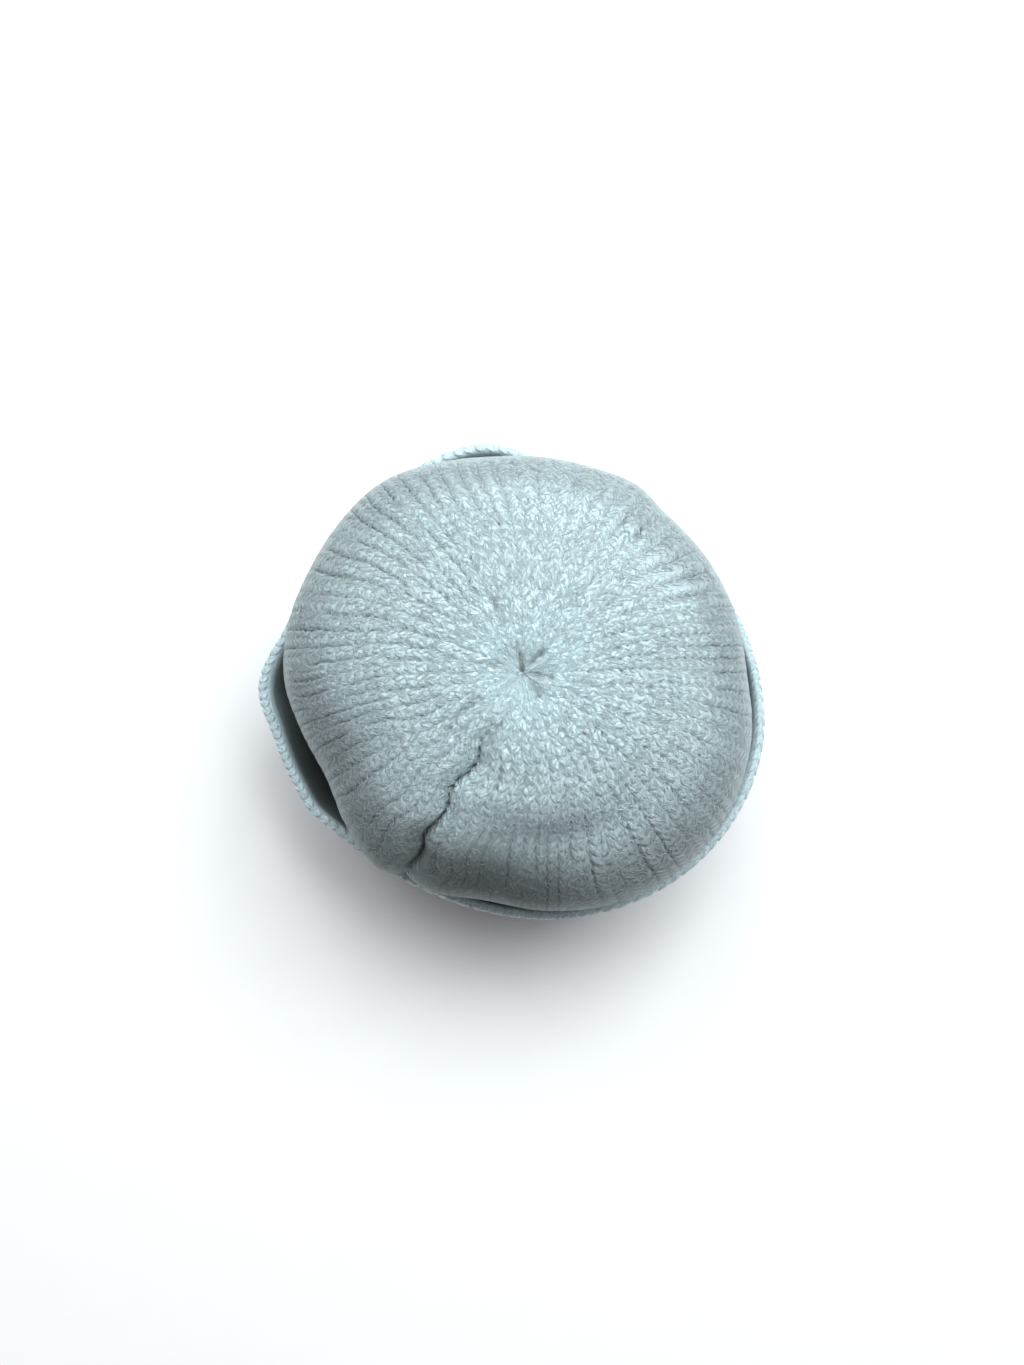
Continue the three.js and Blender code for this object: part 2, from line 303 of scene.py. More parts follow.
def bell(x: Array) -> Array:
    """A smooth bump of height 1 and half width about 1."""
    return np.exp(-x * x)


def opening_at(bearing: Array) -> Array:
    """How far the grooves open at a bearing in radians."""
    return np.interp(np.mod(bearing / DEGREE, 360), *zip(*OPENINGS))


def mix(a: Array, b: Array, share: Array) -> Array:
    """A blend of two values."""
    return a + (b - a) * share


def unit(vectors: Array) -> Array:
    """The vectors at length 1."""
    return vectors / np.maximum(np.linalg.norm(vectors, axis=-1, keepdims=True), 1e-12)


class Chance:
    """Smooth seeded noise from -1 to 1, over a grid that joins up in its first direction."""

    def __init__(self, seed: int, across: int, cell: float) -> None:
        """Draws the grid.

        Args:
            seed: the seed.
            across: how many cells go once round the hat.
            cell: a cell's length down the cloth, in metres.
        """
        self.across, self.cell = across, cell
        self.grid = np.random.default_rng(seed).uniform(-1, 1, (across, NOISE_ROWS))

    def __call__(self, rib: Array, along: Array) -> Array:
        """The noise on each rib at a distance over the cloth."""
        u, v = np.mod(rib / TURN, 1.0) * self.across, along / self.cell
        i, j = np.floor(u).astype(int), np.floor(v).astype(int)
        s, t = smoothstep(u - i, 0, 1), smoothstep(v - j, 0, 1)

        def corner(a: int, b: int) -> Array:
            """The grid's value at a corner of the cell."""
            return self.grid[(i + a) % self.across, (j + b) % NOISE_ROWS]

        near = mix(corner(0, 0), corner(1, 0), s)
        return mix(near, mix(corner(0, 1), corner(1, 1), s), t)


class PlanCurve:
    """A column of the plan as a smooth periodic function of the bearing in radians."""

    def __init__(self, column: str, unit_size: float) -> None:
        """Reads the column.

        Args:
            column: the field of PlanRow.
            unit_size: what one of its steps is in metres or radians.
        """
        lap = np.array([-TURN, 0.0, TURN])[:, None]
        bearings = np.array([row.bearing for row in PLAN]) * DEGREE
        values = np.array([getattr(row, column) for row in PLAN]) * unit_size
        self.x = (bearings + lap).ravel()
        self.y = np.tile(values, 3)
        self.slope = np.gradient(self.y)
        self.slope[1:-1] = (self.y[2:] - self.y[:-2]) / (self.x[2:] - self.x[:-2])

    def __call__(self, bearing: Array) -> Array:
        """The column's value at each bearing."""
        x = np.mod(bearing, TURN)
        i = np.searchsorted(self.x, x, side="right") - 1
        span = self.x[i + 1] - self.x[i]
        t = (x - self.x[i]) / span
        leave, arrive = self.slope[i] * span, self.slope[i + 1] * span
        rise = self.y[i + 1] - self.y[i]
        bend = leave + arrive - 2 * rise
        return self.y[i] + t * (leave + t * (3 * rise - 2 * leave - arrive + t * bend))


@dataclass
class HatForm:
    """The hat's surfaces, worked out from the same sizes as its solids, in metres."""

    cloth: float = 3.0 * MM
    crown_top: float = 118 * MM
    shoulder_height: float = 72 * MM
    dome_fullness: float = 2.3
    dome_steps: int = 14
    centre: tuple[float, float] = (2.0 * MM, -1.9 * MM)
    fold_radius: float = 70.6 * MM
    fold_offset: tuple[float, float] = (1.2 * MM, -1.0 * MM)
    seam_height: float = 6 * MM
    gap: float = 0.3 * MM
    layer_gap: float = 0.7 * MM
    cuff_belly: float = 1.3 * MM
    plan_centre: tuple[float, float] = (0.8 * MM, -0.1 * MM)
    dimple_depth: float = 3.4 * MM
    dimple_reach: float = 6 * MM
    gather_count: int = 8
    gather_depth: float = 0.9 * MM
    gather_along: float = 8 * MM
    gather_reach: float = 5 * MM
    pleat_bearing: float = 240 * DEGREE
    pleat_depth: float = 6.5 * MM
    pleat_width: float = 3 * MM
    pleat_start: float = 12 * MM
    pleat_full: float = 30 * MM
    pleat_fade: float = 84 * MM
    pleat_gone: float = 104 * MM
    slit_depth: float = 1.4 * MM
    slit_width: float = 0.26 * MM
    sway_lean: float = 2.5 * DEGREE
    sway_by: float = 1.1 * MM
    sway_length: float = 19.3 * MM
    sway_crest: float = 28.7 * MM
    sway_wide: float = 22 * MM
    wander: float = 0.8 * MM
    wander_from: Span = (6 * MM, 40 * MM)  # where it begins, and where it is whole
    calm: float = 0.9  # how much less the ribs wander beside the pleat
    calm_wide: float = 9 * MM
    calm_foot: float = 20 * MM
    jag: float = 0.35 * MM
    jag_from: Span = (0.0, 12 * MM)
    cuff_jag_from: Span = (3 * MM, 10 * MM)
    drift_from: Span = (18 * MM, 66 * MM)
    crease_end: float = 1.5 * MM
    free_height: float = 50 * MM
    wall_slack: float = 0.6 * MM
    lip_clear: float = 1.0 * MM
    mean_lip: float = 58 * MM
    round_reach: Span = (0.1, 0.95)  # where the plan leaves a plain circle
    centred_reach: Span = (0.1, 0.9)  # where the crown's own centre gives way to the plan's
    probe: float = 0.5 * MM  # the step that the cloth's slope is read over
    probe_turn: float = 0.01
    grooves: Grooves = Grooves()
    nap_and_shade: NapAndShade = NapAndShade()

    def __post_init__(self) -> None:
        """Works out the plan's curves, the meridian and the noises."""
        self.shoulder = PlanCurve("shoulder", MM)
        self.lip = PlanCurve("lip", MM)
        self.lip_height = PlanCurve("height", MM)
        self.drift = PlanCurve("drift", DEGREE)
        self.mean_shoulder = float(np.mean([row.shoulder for row in PLAN])) * MM
        self.run, self.run_radius, self.run_height = self._meridian()
        self.length = float(self.run[-1])
        self.wander_noise = Chance(11, 20, 16 * MM)
        self.jag_noise = Chance(12, BODY_RIBS, 0.5 * ROW)
        self.fade_noise = Chance(13, BODY_RIBS, 13 * MM)

    def _meridian(self) -> tuple[Array, Array, Array]:
        """The mean meridian from the crown's centre down to the seam.

        Returns:
            Distances over the cloth, with the radius and the height at each.
        """
        angle = np.linspace(0, math.pi / 2, self.dome_steps + 1)
        reach = np.sin(angle) ** (2 / self.dome_fullness)
        wall = np.array([60 * MM, 45 * MM, 30 * MM, 15 * MM, self.seam_height])
        radius = np.append(self.mean_shoulder * reach, np.full(5, self.mean_shoulder))
        dome = mix(self.shoulder_height, self.crown_top, np.cos(angle))
        points = np.stack([radius, np.append(dome, wall)], 1)
        padded = np.concatenate([points[:1], points, points[-1:]])
        t = np.linspace(0, len(points) - 1, 4000)
        i = np.minimum(t.astype(int), len(points) - 2)
        w = (t - i)[:, None]
        before, a, b, after = (padded[i + k] for k in range(4))
        leave, arrive = (b - before) / 2, (after - a) / 2
        bend = leave + arrive - 2 * (b - a)
        path = a + w * (leave + w * (3 * (b - a) - 2 * leave - arrive + w * bend))
        steps = np.linalg.norm(np.diff(path, axis=0), axis=1)
        return np.append(0.0, np.cumsum(steps)), path[:, 0], path[:, 1]

    def fold(self, bearing: Array) -> Array:
        """Outer radius of the folded edge."""
        x, y = self.fold_offset
        return self.fold_radius + x * np.cos(bearing) + y * np.sin(bearing)

    def cuff_radius(self, bearing: Array, z: Array) -> Array:
        """Outer radius of the cuff at a height."""
        rise = np.clip(z / self.lip_height(bearing), 0.0, 1.0)
        swell = self.cuff_belly * np.sin(math.pi * rise**0.7)
        return mix(self.fold(bearing), self.lip(bearing), rise**1.6) + swell

    def wall_radius(self, bearing: Array, z: Array) -> Array:
        """Outer radius of the crown's wall below the shoulder, inside the cuff."""
        under = self.cuff_radius(bearing, z) - self.cloth - self.layer_gap
        foot = self.fold(bearing) - self.cloth - self.layer_gap
        open_wall = self.shoulder(bearing) - self.wall_slack
        free = mix(foot, open_wall, smoothstep(z, self.seam_height, self.free_height))
        low = self.lip_height(bearing) + self.lip_clear
        rise = smoothstep(z, low, self.shoulder_height)
        return mix(np.minimum(under, free), self.shoulder(bearing), rise)

    def arc(self, start: float, bearing: Array, along: Array) -> Array:
        """Distance round the crown from one bearing to another."""
        turned = np.mod(bearing - start + math.pi, TURN) - math.pi
        return turned * np.minimum(along, self.mean_shoulder)

    def pleat_share(self, along: Array) -> Array:
        """How far the pleat has opened, from 0 at its ends to 1."""
        opened = smoothstep(along, self.pleat_start, self.pleat_full)
        return opened * (1 - smoothstep(along, self.pleat_fade, self.pleat_gone))

    def rib_bearing(self, rib: Array, along: Array) -> Array:
        """Where a rib that leaves the centre at a bearing lies at a distance from it."""
        from_pleat = self.arc(self.pleat_bearing, rib, along)
        phase = (along - self.sway_crest) / self.sway_length * TURN
        sway = self.sway_lean * np.minimum(along, self.mean_shoulder)
        sway = (sway + self.sway_by * np.cos(phase)) * bell(from_pleat / self.sway_wide)
        sway = sway * self.pleat_share(along)
        loose = self.wander * self.wander_noise(rib, along)
        calmed = self.calm * bell(from_pleat / self.calm_wide) * self.pleat_share(along)
        loose = loose * (1 - calmed) * smoothstep(along, *self.wander_from)
        jagged = self.jag * self.jag_noise(rib, along) * smoothstep(along, *self.jag_from)
        foot = smoothstep(along, self.length - self.calm_foot, self.length)
        loose = (loose + jagged) * (1 - foot)
        swung = (sway + loose) / np.maximum(along, self.pleat_start)
        return rib + swung + self.drift(rib) * smoothstep(along, *self.drift_from)

    def slit(self, rib: Array, along: Array) -> Array:
        """How near a point is to the pleat's sharp bottom, from 0 to 1."""
        from_pleat = np.abs(self.arc(self.pleat_bearing, rib, along))
        return self.pleat_share(along) * np.exp(-from_pleat / self.slit_width)

    def creased(self, rib: Array, along: Array) -> Array:
        """How deep the short sharp creases are at each point."""
        depth = np.zeros_like(along)
        for crease in CREASES:
            start, end = crease.alongs
            share = np.clip((along - start) / (end - start), 0, 1)
            bearing = mix(crease.bearings[0], crease.bearings[1], share) * DEGREE
            turned = np.mod(rib - bearing + math.pi, TURN) - math.pi
            across = turned * np.minimum(along, self.mean_shoulder) / crease.width
            past = (along - mix(start, end, share)) / self.crease_end
            depth = depth + crease.depth * bell(across) * bell(past)
        return depth

    def sunk(self, rib: Array, bearing: Array, along: Array) -> Array:
        """How deep the hollows, pleat, dimple and creases lie under the plain crown."""
        depth = self.dimple_depth * bell(along / self.dimple_reach)
        gathered = bell((along - self.gather_along) / self.gather_reach)
        crease = 0.5 * (1 + np.cos(self.gather_count * rib))
        depth = depth + self.gather_depth * gathered * crease
        for hollow in HOLLOWS:
            across = self.arc(hollow.bearing * DEGREE, bearing, along) / hollow.wide
            down = (along - hollow.along) / hollow.tall
            depth = depth + hollow.depth * bell(across) * bell(down)
        from_pleat = np.abs(self.arc(self.pleat_bearing, rib, along))
        narrow = np.exp(-from_pleat / self.pleat_width)
        depth = depth + self.pleat_depth * self.pleat_share(along) * narrow
        return depth + self.slit_depth * self.slit(rib, along) + self.creased(rib, along)

    def plain_crown(self, bearing: Array, along: Array) -> Array:
        """Points of the crown's plain outer face."""
        radius = np.interp(along, self.run, self.run_radius)
        z = np.interp(along, self.run, self.run_height)
        reach = radius / self.mean_shoulder
        full = smoothstep(reach, *self.round_reach)
        dome = reach * mix(self.mean_shoulder, self.shoulder(bearing), full)
        r = np.where(z > self.shoulder_height, dome, self.wall_radius(bearing, z))
        shift = 1 - smoothstep(reach, *self.centred_reach)
        x = r * np.cos(bearing) + self.centre[0] * shift + self.plan_centre[0]
        y = r * np.sin(bearing) + self.centre[1] * shift + self.plan_centre[1]
        return np.stack([x, y, z], -1)

    def crown_point(self, rib: Array, along: Array, inset: Array) -> Array:
        """Points of the crown's ribs, at an inset under its outer face.

        Args:
            rib: the bearing at which each point's rib leaves the crown's centre.
            along: the distance from the centre over the cloth.
            inset: how far under the outer face the point lies.

        Returns:
            An array of points.
        """
        step, turn = self.probe, self.probe_turn
        at = self.rib_bearing(rib, along)
        ahead = self.plain_crown(at, np.minimum(along + step, self.length))
        behind = self.plain_crown(at, np.maximum(along - step, HAIR))
        around = self.plain_crown(at + turn, along) - self.plain_crown(at - turn, along)
        outward = unit(np.cross(ahead - behind, around))
        depth = inset + self.sunk(rib, at, along)
        return self.plain_crown(at, along) - outward * depth[..., None]

    def turned_up(self, rib: Array, z: Array) -> Array:
        """The bearing of a rib on the cuff at a height."""
        at = self.rib_bearing(rib, np.full_like(rib, self.length))
        loose = self.jag * self.jag_noise(rib, z + self.length)
        return at + loose * smoothstep(z, *self.cuff_jag_from) / self.fold_radius

    def cuff_point(self, rib: Array, z: Array, inset: Array) -> Array:
        """Points of the cuff's outer face at a height, or at an inset under it."""
        at = self.turned_up(rib, z)
        step, turn = self.probe, self.probe_turn
        up = self._on_cuff(at, z + step) - self._on_cuff(at, z - step)
        around = self._on_cuff(at + turn, z) - self._on_cuff(at - turn, z)
        return self._on_cuff(at, z) - unit(np.cross(around, up)) * inset[..., None]

    def _on_cuff(self, bearing: Array, z: Array) -> Array:
        """Points of the cuff's plain outer face."""
        return self.around(self.cuff_radius(bearing, z), bearing, z)

    def around(self, r: Array, bearing: Array, z: Array) -> Array:
        """Points at a radius, a bearing and a height about the plan's middle."""
        x, y = self.plan_centre
        return np.stack([r * np.cos(bearing) + x, r * np.sin(bearing) + y, z + 0 * r], -1)

    def edge_point(self, rib: Array, turn: Array, lift: Array) -> Array:
        """Points round the cuff's rolled upper edge.

        Args:
            rib: the rib's bearing.
            turn: the angle round the roll, 0 on the outer face and a half turn inside.
            lift: how far the point stands off the roll.

        Returns:
            An array of points.
        """
        at = self.turned_up(rib, np.full_like(rib, self.mean_lip))
        roll = self.cloth / 2
        z = self.lip_height(at) - roll + (roll + lift) * np.sin(turn)
        return self.around(self.lip(at) - roll + (roll + lift) * np.cos(turn), at, z)

    def ribs_at(self, along: Array) -> Array:
        """How many ribs there are at a distance from the centre."""
        starts = np.array([r.start for r in ROUNDS])
        counts = np.array([r.ribs for r in ROUNDS])
        return counts[np.clip(np.searchsorted(starts, along, side="right") - 1, 0, None)]

    def felted(self, along: Array) -> Array:
        """How far the nap hides the ribs, from 0 to 1 over the crown's shoulder."""
        hidden = smoothstep(along, *self.nap_and_shade.felt)
        return hidden * (1 - self.nap_and_shade.felt_lost * smoothstep(along, *self.nap_and_shade.inside))

    def plumpness(self, rib: Array, along: Array) -> Array:
        """How far the stitches stand out, least where the nap is brushed over them."""
        plump = np.interp(along / MM, *zip(*PLUMPNESS))
        front = 0.5 * (1 - np.cos(rib - self.nap_and_shade.plump_bearing))
        return plump * mix(self.nap_and_shade.plump_back, self.nap_and_shade.plump_front, front)

    def matted(self, rib: Array, along: Array) -> Array:
        """How far the shoulder's stitches are sunk in the nap, least where the grooves open."""
        nap_and_shade = self.nap_and_shade
        shoulder = smoothstep(along, *nap_and_shade.mat_in) * (1 - smoothstep(along, *nap_and_shade.mat_out))
        return shoulder * np.clip(nap_and_shade.mat_most - opening_at(rib), *nap_and_shade.mat_limits)

    def painted_shading(self, rib: Array, along: Array) -> Array:
        """Painted light and shade on the crown's wool, a factor of about 1: painted light at the
        middle and round it, painted shade in its creases and slit, on the front and edge of the
        shoulder, in the drawn-in centre and inside the cuff.
        """
        nap_and_shade = self.nap_and_shade
        turned = np.mod(rib - nap_and_shade.front_bearing + math.pi, TURN) - math.pi
        # painted shade on the front of the shoulder and over the whole shoulder, fading down the
        # wall
        above = 1 - nap_and_shade.wall_lost * smoothstep(along, *nap_and_shade.wall)
        front = nap_and_shade.front_dim * bell(turned / nap_and_shade.front_wide)
        front = front * smoothstep(along, *nap_and_shade.front_in) * above
        edge = nap_and_shade.edge_dim * smoothstep(along, *nap_and_shade.edge_in) * above
        # painted shade where the crown passes into the cuff
        inside = 1 - nap_and_shade.inside_dim * smoothstep(along, *nap_and_shade.inside)
        # painted shade in the creases and the pleat's slit
        creased = np.minimum(self.creased(rib, along) / MM, nap_and_shade.crease_most)
        lines = nap_and_shade.crease_dim * creased + nap_and_shade.slit_dim * self.slit(rib, along)
        # painted light at the middle and round it, and painted shade in the drawn-in centre
        middle = nap_and_shade.glow * bell(along / nap_and_shade.glow_reach)
        middle = middle + nap_and_shade.halo * bell(along / nap_and_shade.halo_reach)
        pinched = 1 - nap_and_shade.pinch_dim * bell(along / nap_and_shade.pinch_reach)
        light = np.maximum((1 + middle - front - edge) * (1 - lines), nap_and_shade.least)
        return inside * pinched * light

    def groove(
        self, rib: Array, along: Array, count: Array, steady: float = 0.0
    ) -> tuple[Array, Array]:
        """How deep a point lies beside its rib.

        Args:
            rib: the rib's bearing at the centre.
            along: the distance over the cloth.
            count: how many ribs there are there.
            steady: how evenly the grooves open, from 0 to 1.

        Returns:
            The depth, and how near the point is to an open groove, from 0 to 1.
        """
        grooves = self.grooves
        place = rib * count / TURN
        off = np.abs(place - np.round(place))
        pitch = TURN * np.minimum(along, self.mean_shoulder) / count
        line = np.round(place) / count * TURN
        opening = opening_at(line)
        chance = self.fade_noise(line, along) + grooves.gain * opening - grooves.offset
        opened = smoothstep(chance, -grooves.soft, grooves.soft) * opening
        sharp = mix(mix(grooves.least, 1.0, opened), grooves.even, steady)
        near = np.exp(-off * pitch / grooves.width) * sharp
        near = near * smoothstep(along, *grooves.starts)
        rounded = grooves.rib_round * (1 - 2 * off) ** grooves.round_power
        rounded = rounded * smoothstep(along, *grooves.round_in)
        rounded = rounded * (1 - grooves.round_lost * smoothstep(along, *grooves.round_out))
        return rounded + grooves.depth * near, near

    def crown_groove(self, rib: Array, along: Array) -> tuple[Array, Array]:
        """The groove's depth and nearness on the crown's outer face."""
        grooves = self.grooves
        depth, near = self.groove(rib, along, self.ribs_at(along))
        for step in ROUNDS[1:]:
            beside = bell((along - step.start) / grooves.step_reach)
            depth = depth * (1 - grooves.step_lost * beside)
        sharp = near * (1 - grooves.wall_lost * smoothstep(along, *grooves.wall))
        rounded = (depth - grooves.depth * near) * (1 - grooves.felt_lost * self.felted(along))
        return rounded + grooves.depth * sharp, sharp

    def cuff_groove(self, rib: Array, z: Array) -> tuple[Array, Array]:
        """The groove's depth and nearness on the cuff's outer face."""
        count = np.full_like(z + rib, BODY_RIBS)
        return self.groove(rib, self.length + z, count, self.grooves.cuff_steady)


# ---------------------------------------------------------------- materials


class Sock:
    """A shader value that Python's operators work on."""

    def __init__(self, recipe: "Recipe", link: object) -> None:
        """Wraps a node's output socket."""
        self.recipe, self.link = recipe, link

    def maths(self, kind: str, *others: object) -> "Sock":
        """A Math node on this value and others."""
        inputs = dict(enumerate((self, *others)))
        return self.recipe.node("ShaderNodeMath", {"operation": kind}, inputs)

    def __add__(self, other: object) -> "Sock":
        """Sum."""
        return self.maths("ADD", other)

    def __mul__(self, other: object) -> "Sock":
        """Product."""
        return self.maths("MULTIPLY", other)

    def __sub__(self, other: object) -> "Sock":
        """Difference."""
        return self.maths("SUBTRACT", other)

    __radd__ = __add__
    __rmul__ = __mul__


class Recipe:
    """A material's node tree while it is written."""

    def __init__(self, name: str) -> None:
        """Starts an empty material."""
        self.material = bpy.data.materials.new(name)
        self.material.use_nodes = True
        self.tree = self.material.node_tree
        self.tree.nodes.clear()

    def node(
        self,
        kind: str,
        settings: dict[str, object] | None = None,
        inputs: dict[object, object] | None = None,
        output: object = 0,
    ) -> Sock:
        """Adds a node.

        Args:
            kind: the node's type.
            settings: its properties, set before its sockets.
            inputs: values or links by socket name or number.
            output: the socket that is wrapped.

        Returns:
            The wrapped output, or the node itself if it has none.
        """
        made = self.tree.nodes.new(kind)
        for name, value in (settings or {}).items():
            setattr(made, name, value)
        for key, value in (inputs or {}).items():
            if isinstance(value, Sock):
                self.tree.links.new(value.link, made.inputs[key])
            else:
                made.inputs[key].default_value = value
        return Sock(self, made.outputs[output] if len(made.outputs) else made)

    def noise(self, place: Sock, scale: float, detail: float = 2.0) -> Sock:
        """A noise of a scale, in waves to the unit."""
        inputs = {"Vector": place, "Scale": scale, "Detail": detail}
        return self.node("ShaderNodeTexNoise", {}, inputs)

    def blend(self, share: Sock, first: Colour | Sock, second: Colour | Sock) -> Sock:
        """A mix of two colours."""
        ends = [end if isinstance(end, Sock) else (*end, 1.0) for end in (first, second)]
        settings = {"data_type": "RGBA", "clamp_factor": True}
        return self.node("ShaderNodeMix", settings, {0: share, 6: ends[0], 7: ends[1]}, output=2)


class Lay(Enum):
    """Which way the wool's fibres lie."""

    KNIT = "knit"
    STRAND = "strand"


@dataclass(frozen=True)
class WoolFinish:
    """The brushed wool: its light and deep tones, and how fibres, nap and patches vary them."""

    name: str
    lay: Lay
    light: Colour = (0.75, 0.945, 0.985)
    deep: Colour = (0.27, 0.315, 0.325)
    level: float = 0.55
    fibre: float = 1.15
    nap: float = 0.52
    patch: float = 0.08
    chance: float = 0.16
    own_step: float = 0.37
    # how strongly a low tone paints shade, darkening the colour towards black
    shade: float = 1.25
    nap_waves: float = 1900.0
    patch_waves: float = 45.0
    nap_relief: float = 0.5
    vee_rise: float = 2.4
    vee_rough: float = 0.6
    rough_waves: float = 2.5
    fibre_waves: float = 7.0
    ridge: float = 0.1
    ridge_relief: float = 0.25
    soft: float = 0.5
    soft_reach: float = 0.6 * MM
    bump: float = 0.7
    bump_distance: float = 0.25 * MM
    roughness: float = 0.92
    sheen: float = 0.08
    sheen_roughness: float = 0.5
    specular: float = 0.15

    def build(self) -> bpy.types.Material:
        """Writes the material."""
        recipe = Recipe(self.name)
        place = recipe.node("ShaderNodeTexCoord", output="Object")
        if self.lay is Lay.KNIT:
            fibre, relief = self._knit(recipe)
        else:
            fibre, relief = self._strand(recipe)
        nap = recipe.noise(place, self.nap_waves, 3.0)
        patch = recipe.noise(place, self.patch_waves, 2.0)
        light = (fibre - 0.5) * self.fibre + (nap - 0.5) * self.nap
        light = light + (patch - 0.5) * self.patch + self.level
        # the tone attribute carries each piece's own tone differences together with painted light
        # and shade; below 1/shade it darkens the colour towards black as painted shade
        tone = recipe.node("ShaderNodeAttribute", {"attribute_name": "tone"}, output="Fac")
        colour = recipe.blend(light * tone, self.deep, self.light)
        colour = recipe.blend(tone * self.shade, BLACK, colour)
        bump_inputs = {
            "Strength": self.bump,
            "Distance": self.bump_distance,
            "Height": relief + nap * self.nap_relief,
        }
        bumped = recipe.node("ShaderNodeBump", {}, bump_inputs)
        shader_inputs = {
            "Base Color": colour,
            "Roughness": self.roughness,
            "Subsurface Weight": self.soft,
            "Subsurface Radius": (1.0, 1.0, 1.0),
            "Subsurface Scale": self.soft_reach,
            "Sheen Weight": self.sheen,
            "Sheen Roughness": self.sheen_roughness,
            "Specular IOR Level": self.specular,
            "Normal": bumped,
        }
        shader = recipe.node("ShaderNodeBsdfPrincipled", {}, shader_inputs)
        recipe.node("ShaderNodeOutputMaterial", {}, {"Surface": shader})
        return recipe.material

    def _knit(self, recipe: Recipe) -> tuple[Sock, Sock]:
        """The look of columns of V stitches on plain cloth.

        Returns:
            The fibres' lightness and their relief, each from about 0 to 1.
        """
        chart = recipe.node("ShaderNodeUVMap", {"uv_map": KNIT_MAP})
        column = recipe.node("ShaderNodeSeparateXYZ", {}, {0: chart}, output=0)
        row = recipe.node("ShaderNodeSeparateXYZ", {}, {0: chart}, output=1)
        side = (column.maths("FRACT") - 0.5).maths("ABSOLUTE")
        rough = recipe.noise(chart, self.rough_waves, 2.0)
        leg = row + side * self.vee_rise + (rough - 0.5) * self.vee_rough
        ridge = (leg.maths("FRACT") - 0.5).maths("ABSOLUTE") * -2.0 + 1.0
        waves = {0: column * self.vee_rise, 1: leg * self.fibre_waves}
        lay = recipe.node("ShaderNodeCombineXYZ", {}, waves)
        fibre = recipe.noise(lay, 1.0, 3.0)
        return fibre * (1 - self.ridge) + ridge * self.ridge, ridge * self.ridge_relief + fibre

    def _strand(self, recipe: Recipe) -> tuple[Sock, Sock]:
        """The look of fibres that run along a yarn.

        Returns:
            The fibres' lightness and their relief, each from about 0 to 1.
        """
        yarn = recipe.node("ShaderNodeAttribute", {"attribute_name": "yarn"}, output="Vector")
        fibre = recipe.noise(yarn, 1.0, 3.0)
        luck = recipe.node("ShaderNodeSeparateXYZ", {}, {0: yarn}, output=2)
        own = (luck * self.own_step).maths("FRACT")
        return fibre + (own - 0.5) * self.chance, fibre


@dataclass(frozen=True)
class PlainFinish:
    """An even matt finish."""

    name: str
    colour: Colour
    roughness: float = 0.9
    grain_waves: float = 60.0
    grain_dim: float = 0.97

    def build(self) -> bpy.types.Material:
        """Writes the material."""
        recipe = Recipe(self.name)
        place = recipe.node("ShaderNodeTexCoord", output="Object")
        grain = recipe.noise(place, self.grain_waves, 3.0)
        dark = tuple(self.grain_dim * c for c in self.colour)
        inputs = {
            "Base Color": recipe.blend(grain, dark, self.colour),
            "Roughness": self.roughness,
        }
        shader = recipe.node("ShaderNodeBsdfPrincipled", {}, inputs)
        recipe.node("ShaderNodeOutputMaterial", {}, {"Surface": shader})
        return recipe.material


# ---------------------------------------------------------------- making meshes


LEG_FACES = (6, 6)  # round a leg and along it
FIBRE_FACES = (3, 3)
MAP_MARGIN = 0.01


def deselect_all() -> None:
    """Leaves nothing selected."""
    for thing in bpy.context.selected_objects:
        thing.select_set(False)


def fresh_piece(name: str) -> bpy.types.Object:
    """The object that an operator has just added, under its own name."""
    piece = bpy.context.object
    piece.name = piece.data.name = name
    return piece


def ball_template(name: str, segments: int, rings: int) -> tuple[bpy.types.Object, Array]:
    """Adds a ball to be stretched and copied.

    Args:
        name: its name.
        segments: its faces round.
        rings: its rows of faces from pole to pole.

    Returns:
        The ball and its vertices.
    """
    deselect_all()
    bpy.ops.mesh.primitive_uv_sphere_add(
        segments=segments, ring_count=rings, radius=1.0, location=(0, 0, 0)
    )
    ball = fresh_piece(name)
    return ball, coordinates(ball.data)


def coordinates(mesh: bpy.types.Mesh) -> Array:
    """The mesh's vertices as an array."""
    found = np.empty(len(mesh.vertices) * 3)
    mesh.vertices.foreach_get("co", found)
    return found.reshape(-1, 3)


def move_vertices(mesh: bpy.types.Mesh, points: Array) -> None:
    """Puts each vertex at its new place."""
    mesh.vertices.foreach_set("co", np.asarray(points, dtype=np.float32).ravel())
    mesh.update()


def add_tone(mesh: bpy.types.Mesh, tone: Array) -> None:
    """Stores how light the wool is at each vertex."""
    layer = mesh.attributes.new("tone", "FLOAT", "POINT")
    layer.data.foreach_set("value", np.asarray(tone, dtype=np.float32).ravel())


def add_yarn(mesh: bpy.types.Mesh, *parts: Array) -> None:
    """Stores each vertex's place along its yarn, round it, and its yarn's own number."""
    yarn = np.stack(np.broadcast_arrays(*parts), -1)
    layer = mesh.attributes.new("yarn", "FLOAT_VECTOR", "POINT")
    layer.data.foreach_set("vector", yarn.astype(np.float32).ravel())


def corner_values(mesh: bpy.types.Mesh, values: Array) -> tuple[Array, Array]:
    """Spreads vertex values to face corners.

    Args:
        mesh: the mesh.
        values: a row for each vertex; the first column is a share of a full turn.

    Returns:
        The values at each corner, with no face torn where the turn closes, and the
        number of the corner that starts each corner's face.
    """
    corners = np.empty(len(mesh.loops), dtype=np.int32)
    mesh.loops.foreach_get("vertex_index", corners)
    starts = np.empty(len(mesh.polygons), dtype=np.int32)
    mesh.polygons.foreach_get("loop_start", starts)
    first = np.repeat(starts, np.diff(np.append(starts, len(corners))))
    at = values[corners].astype(float)
    at[:, 0] += np.round(at[first, 0] - at[:, 0])
    return at, first


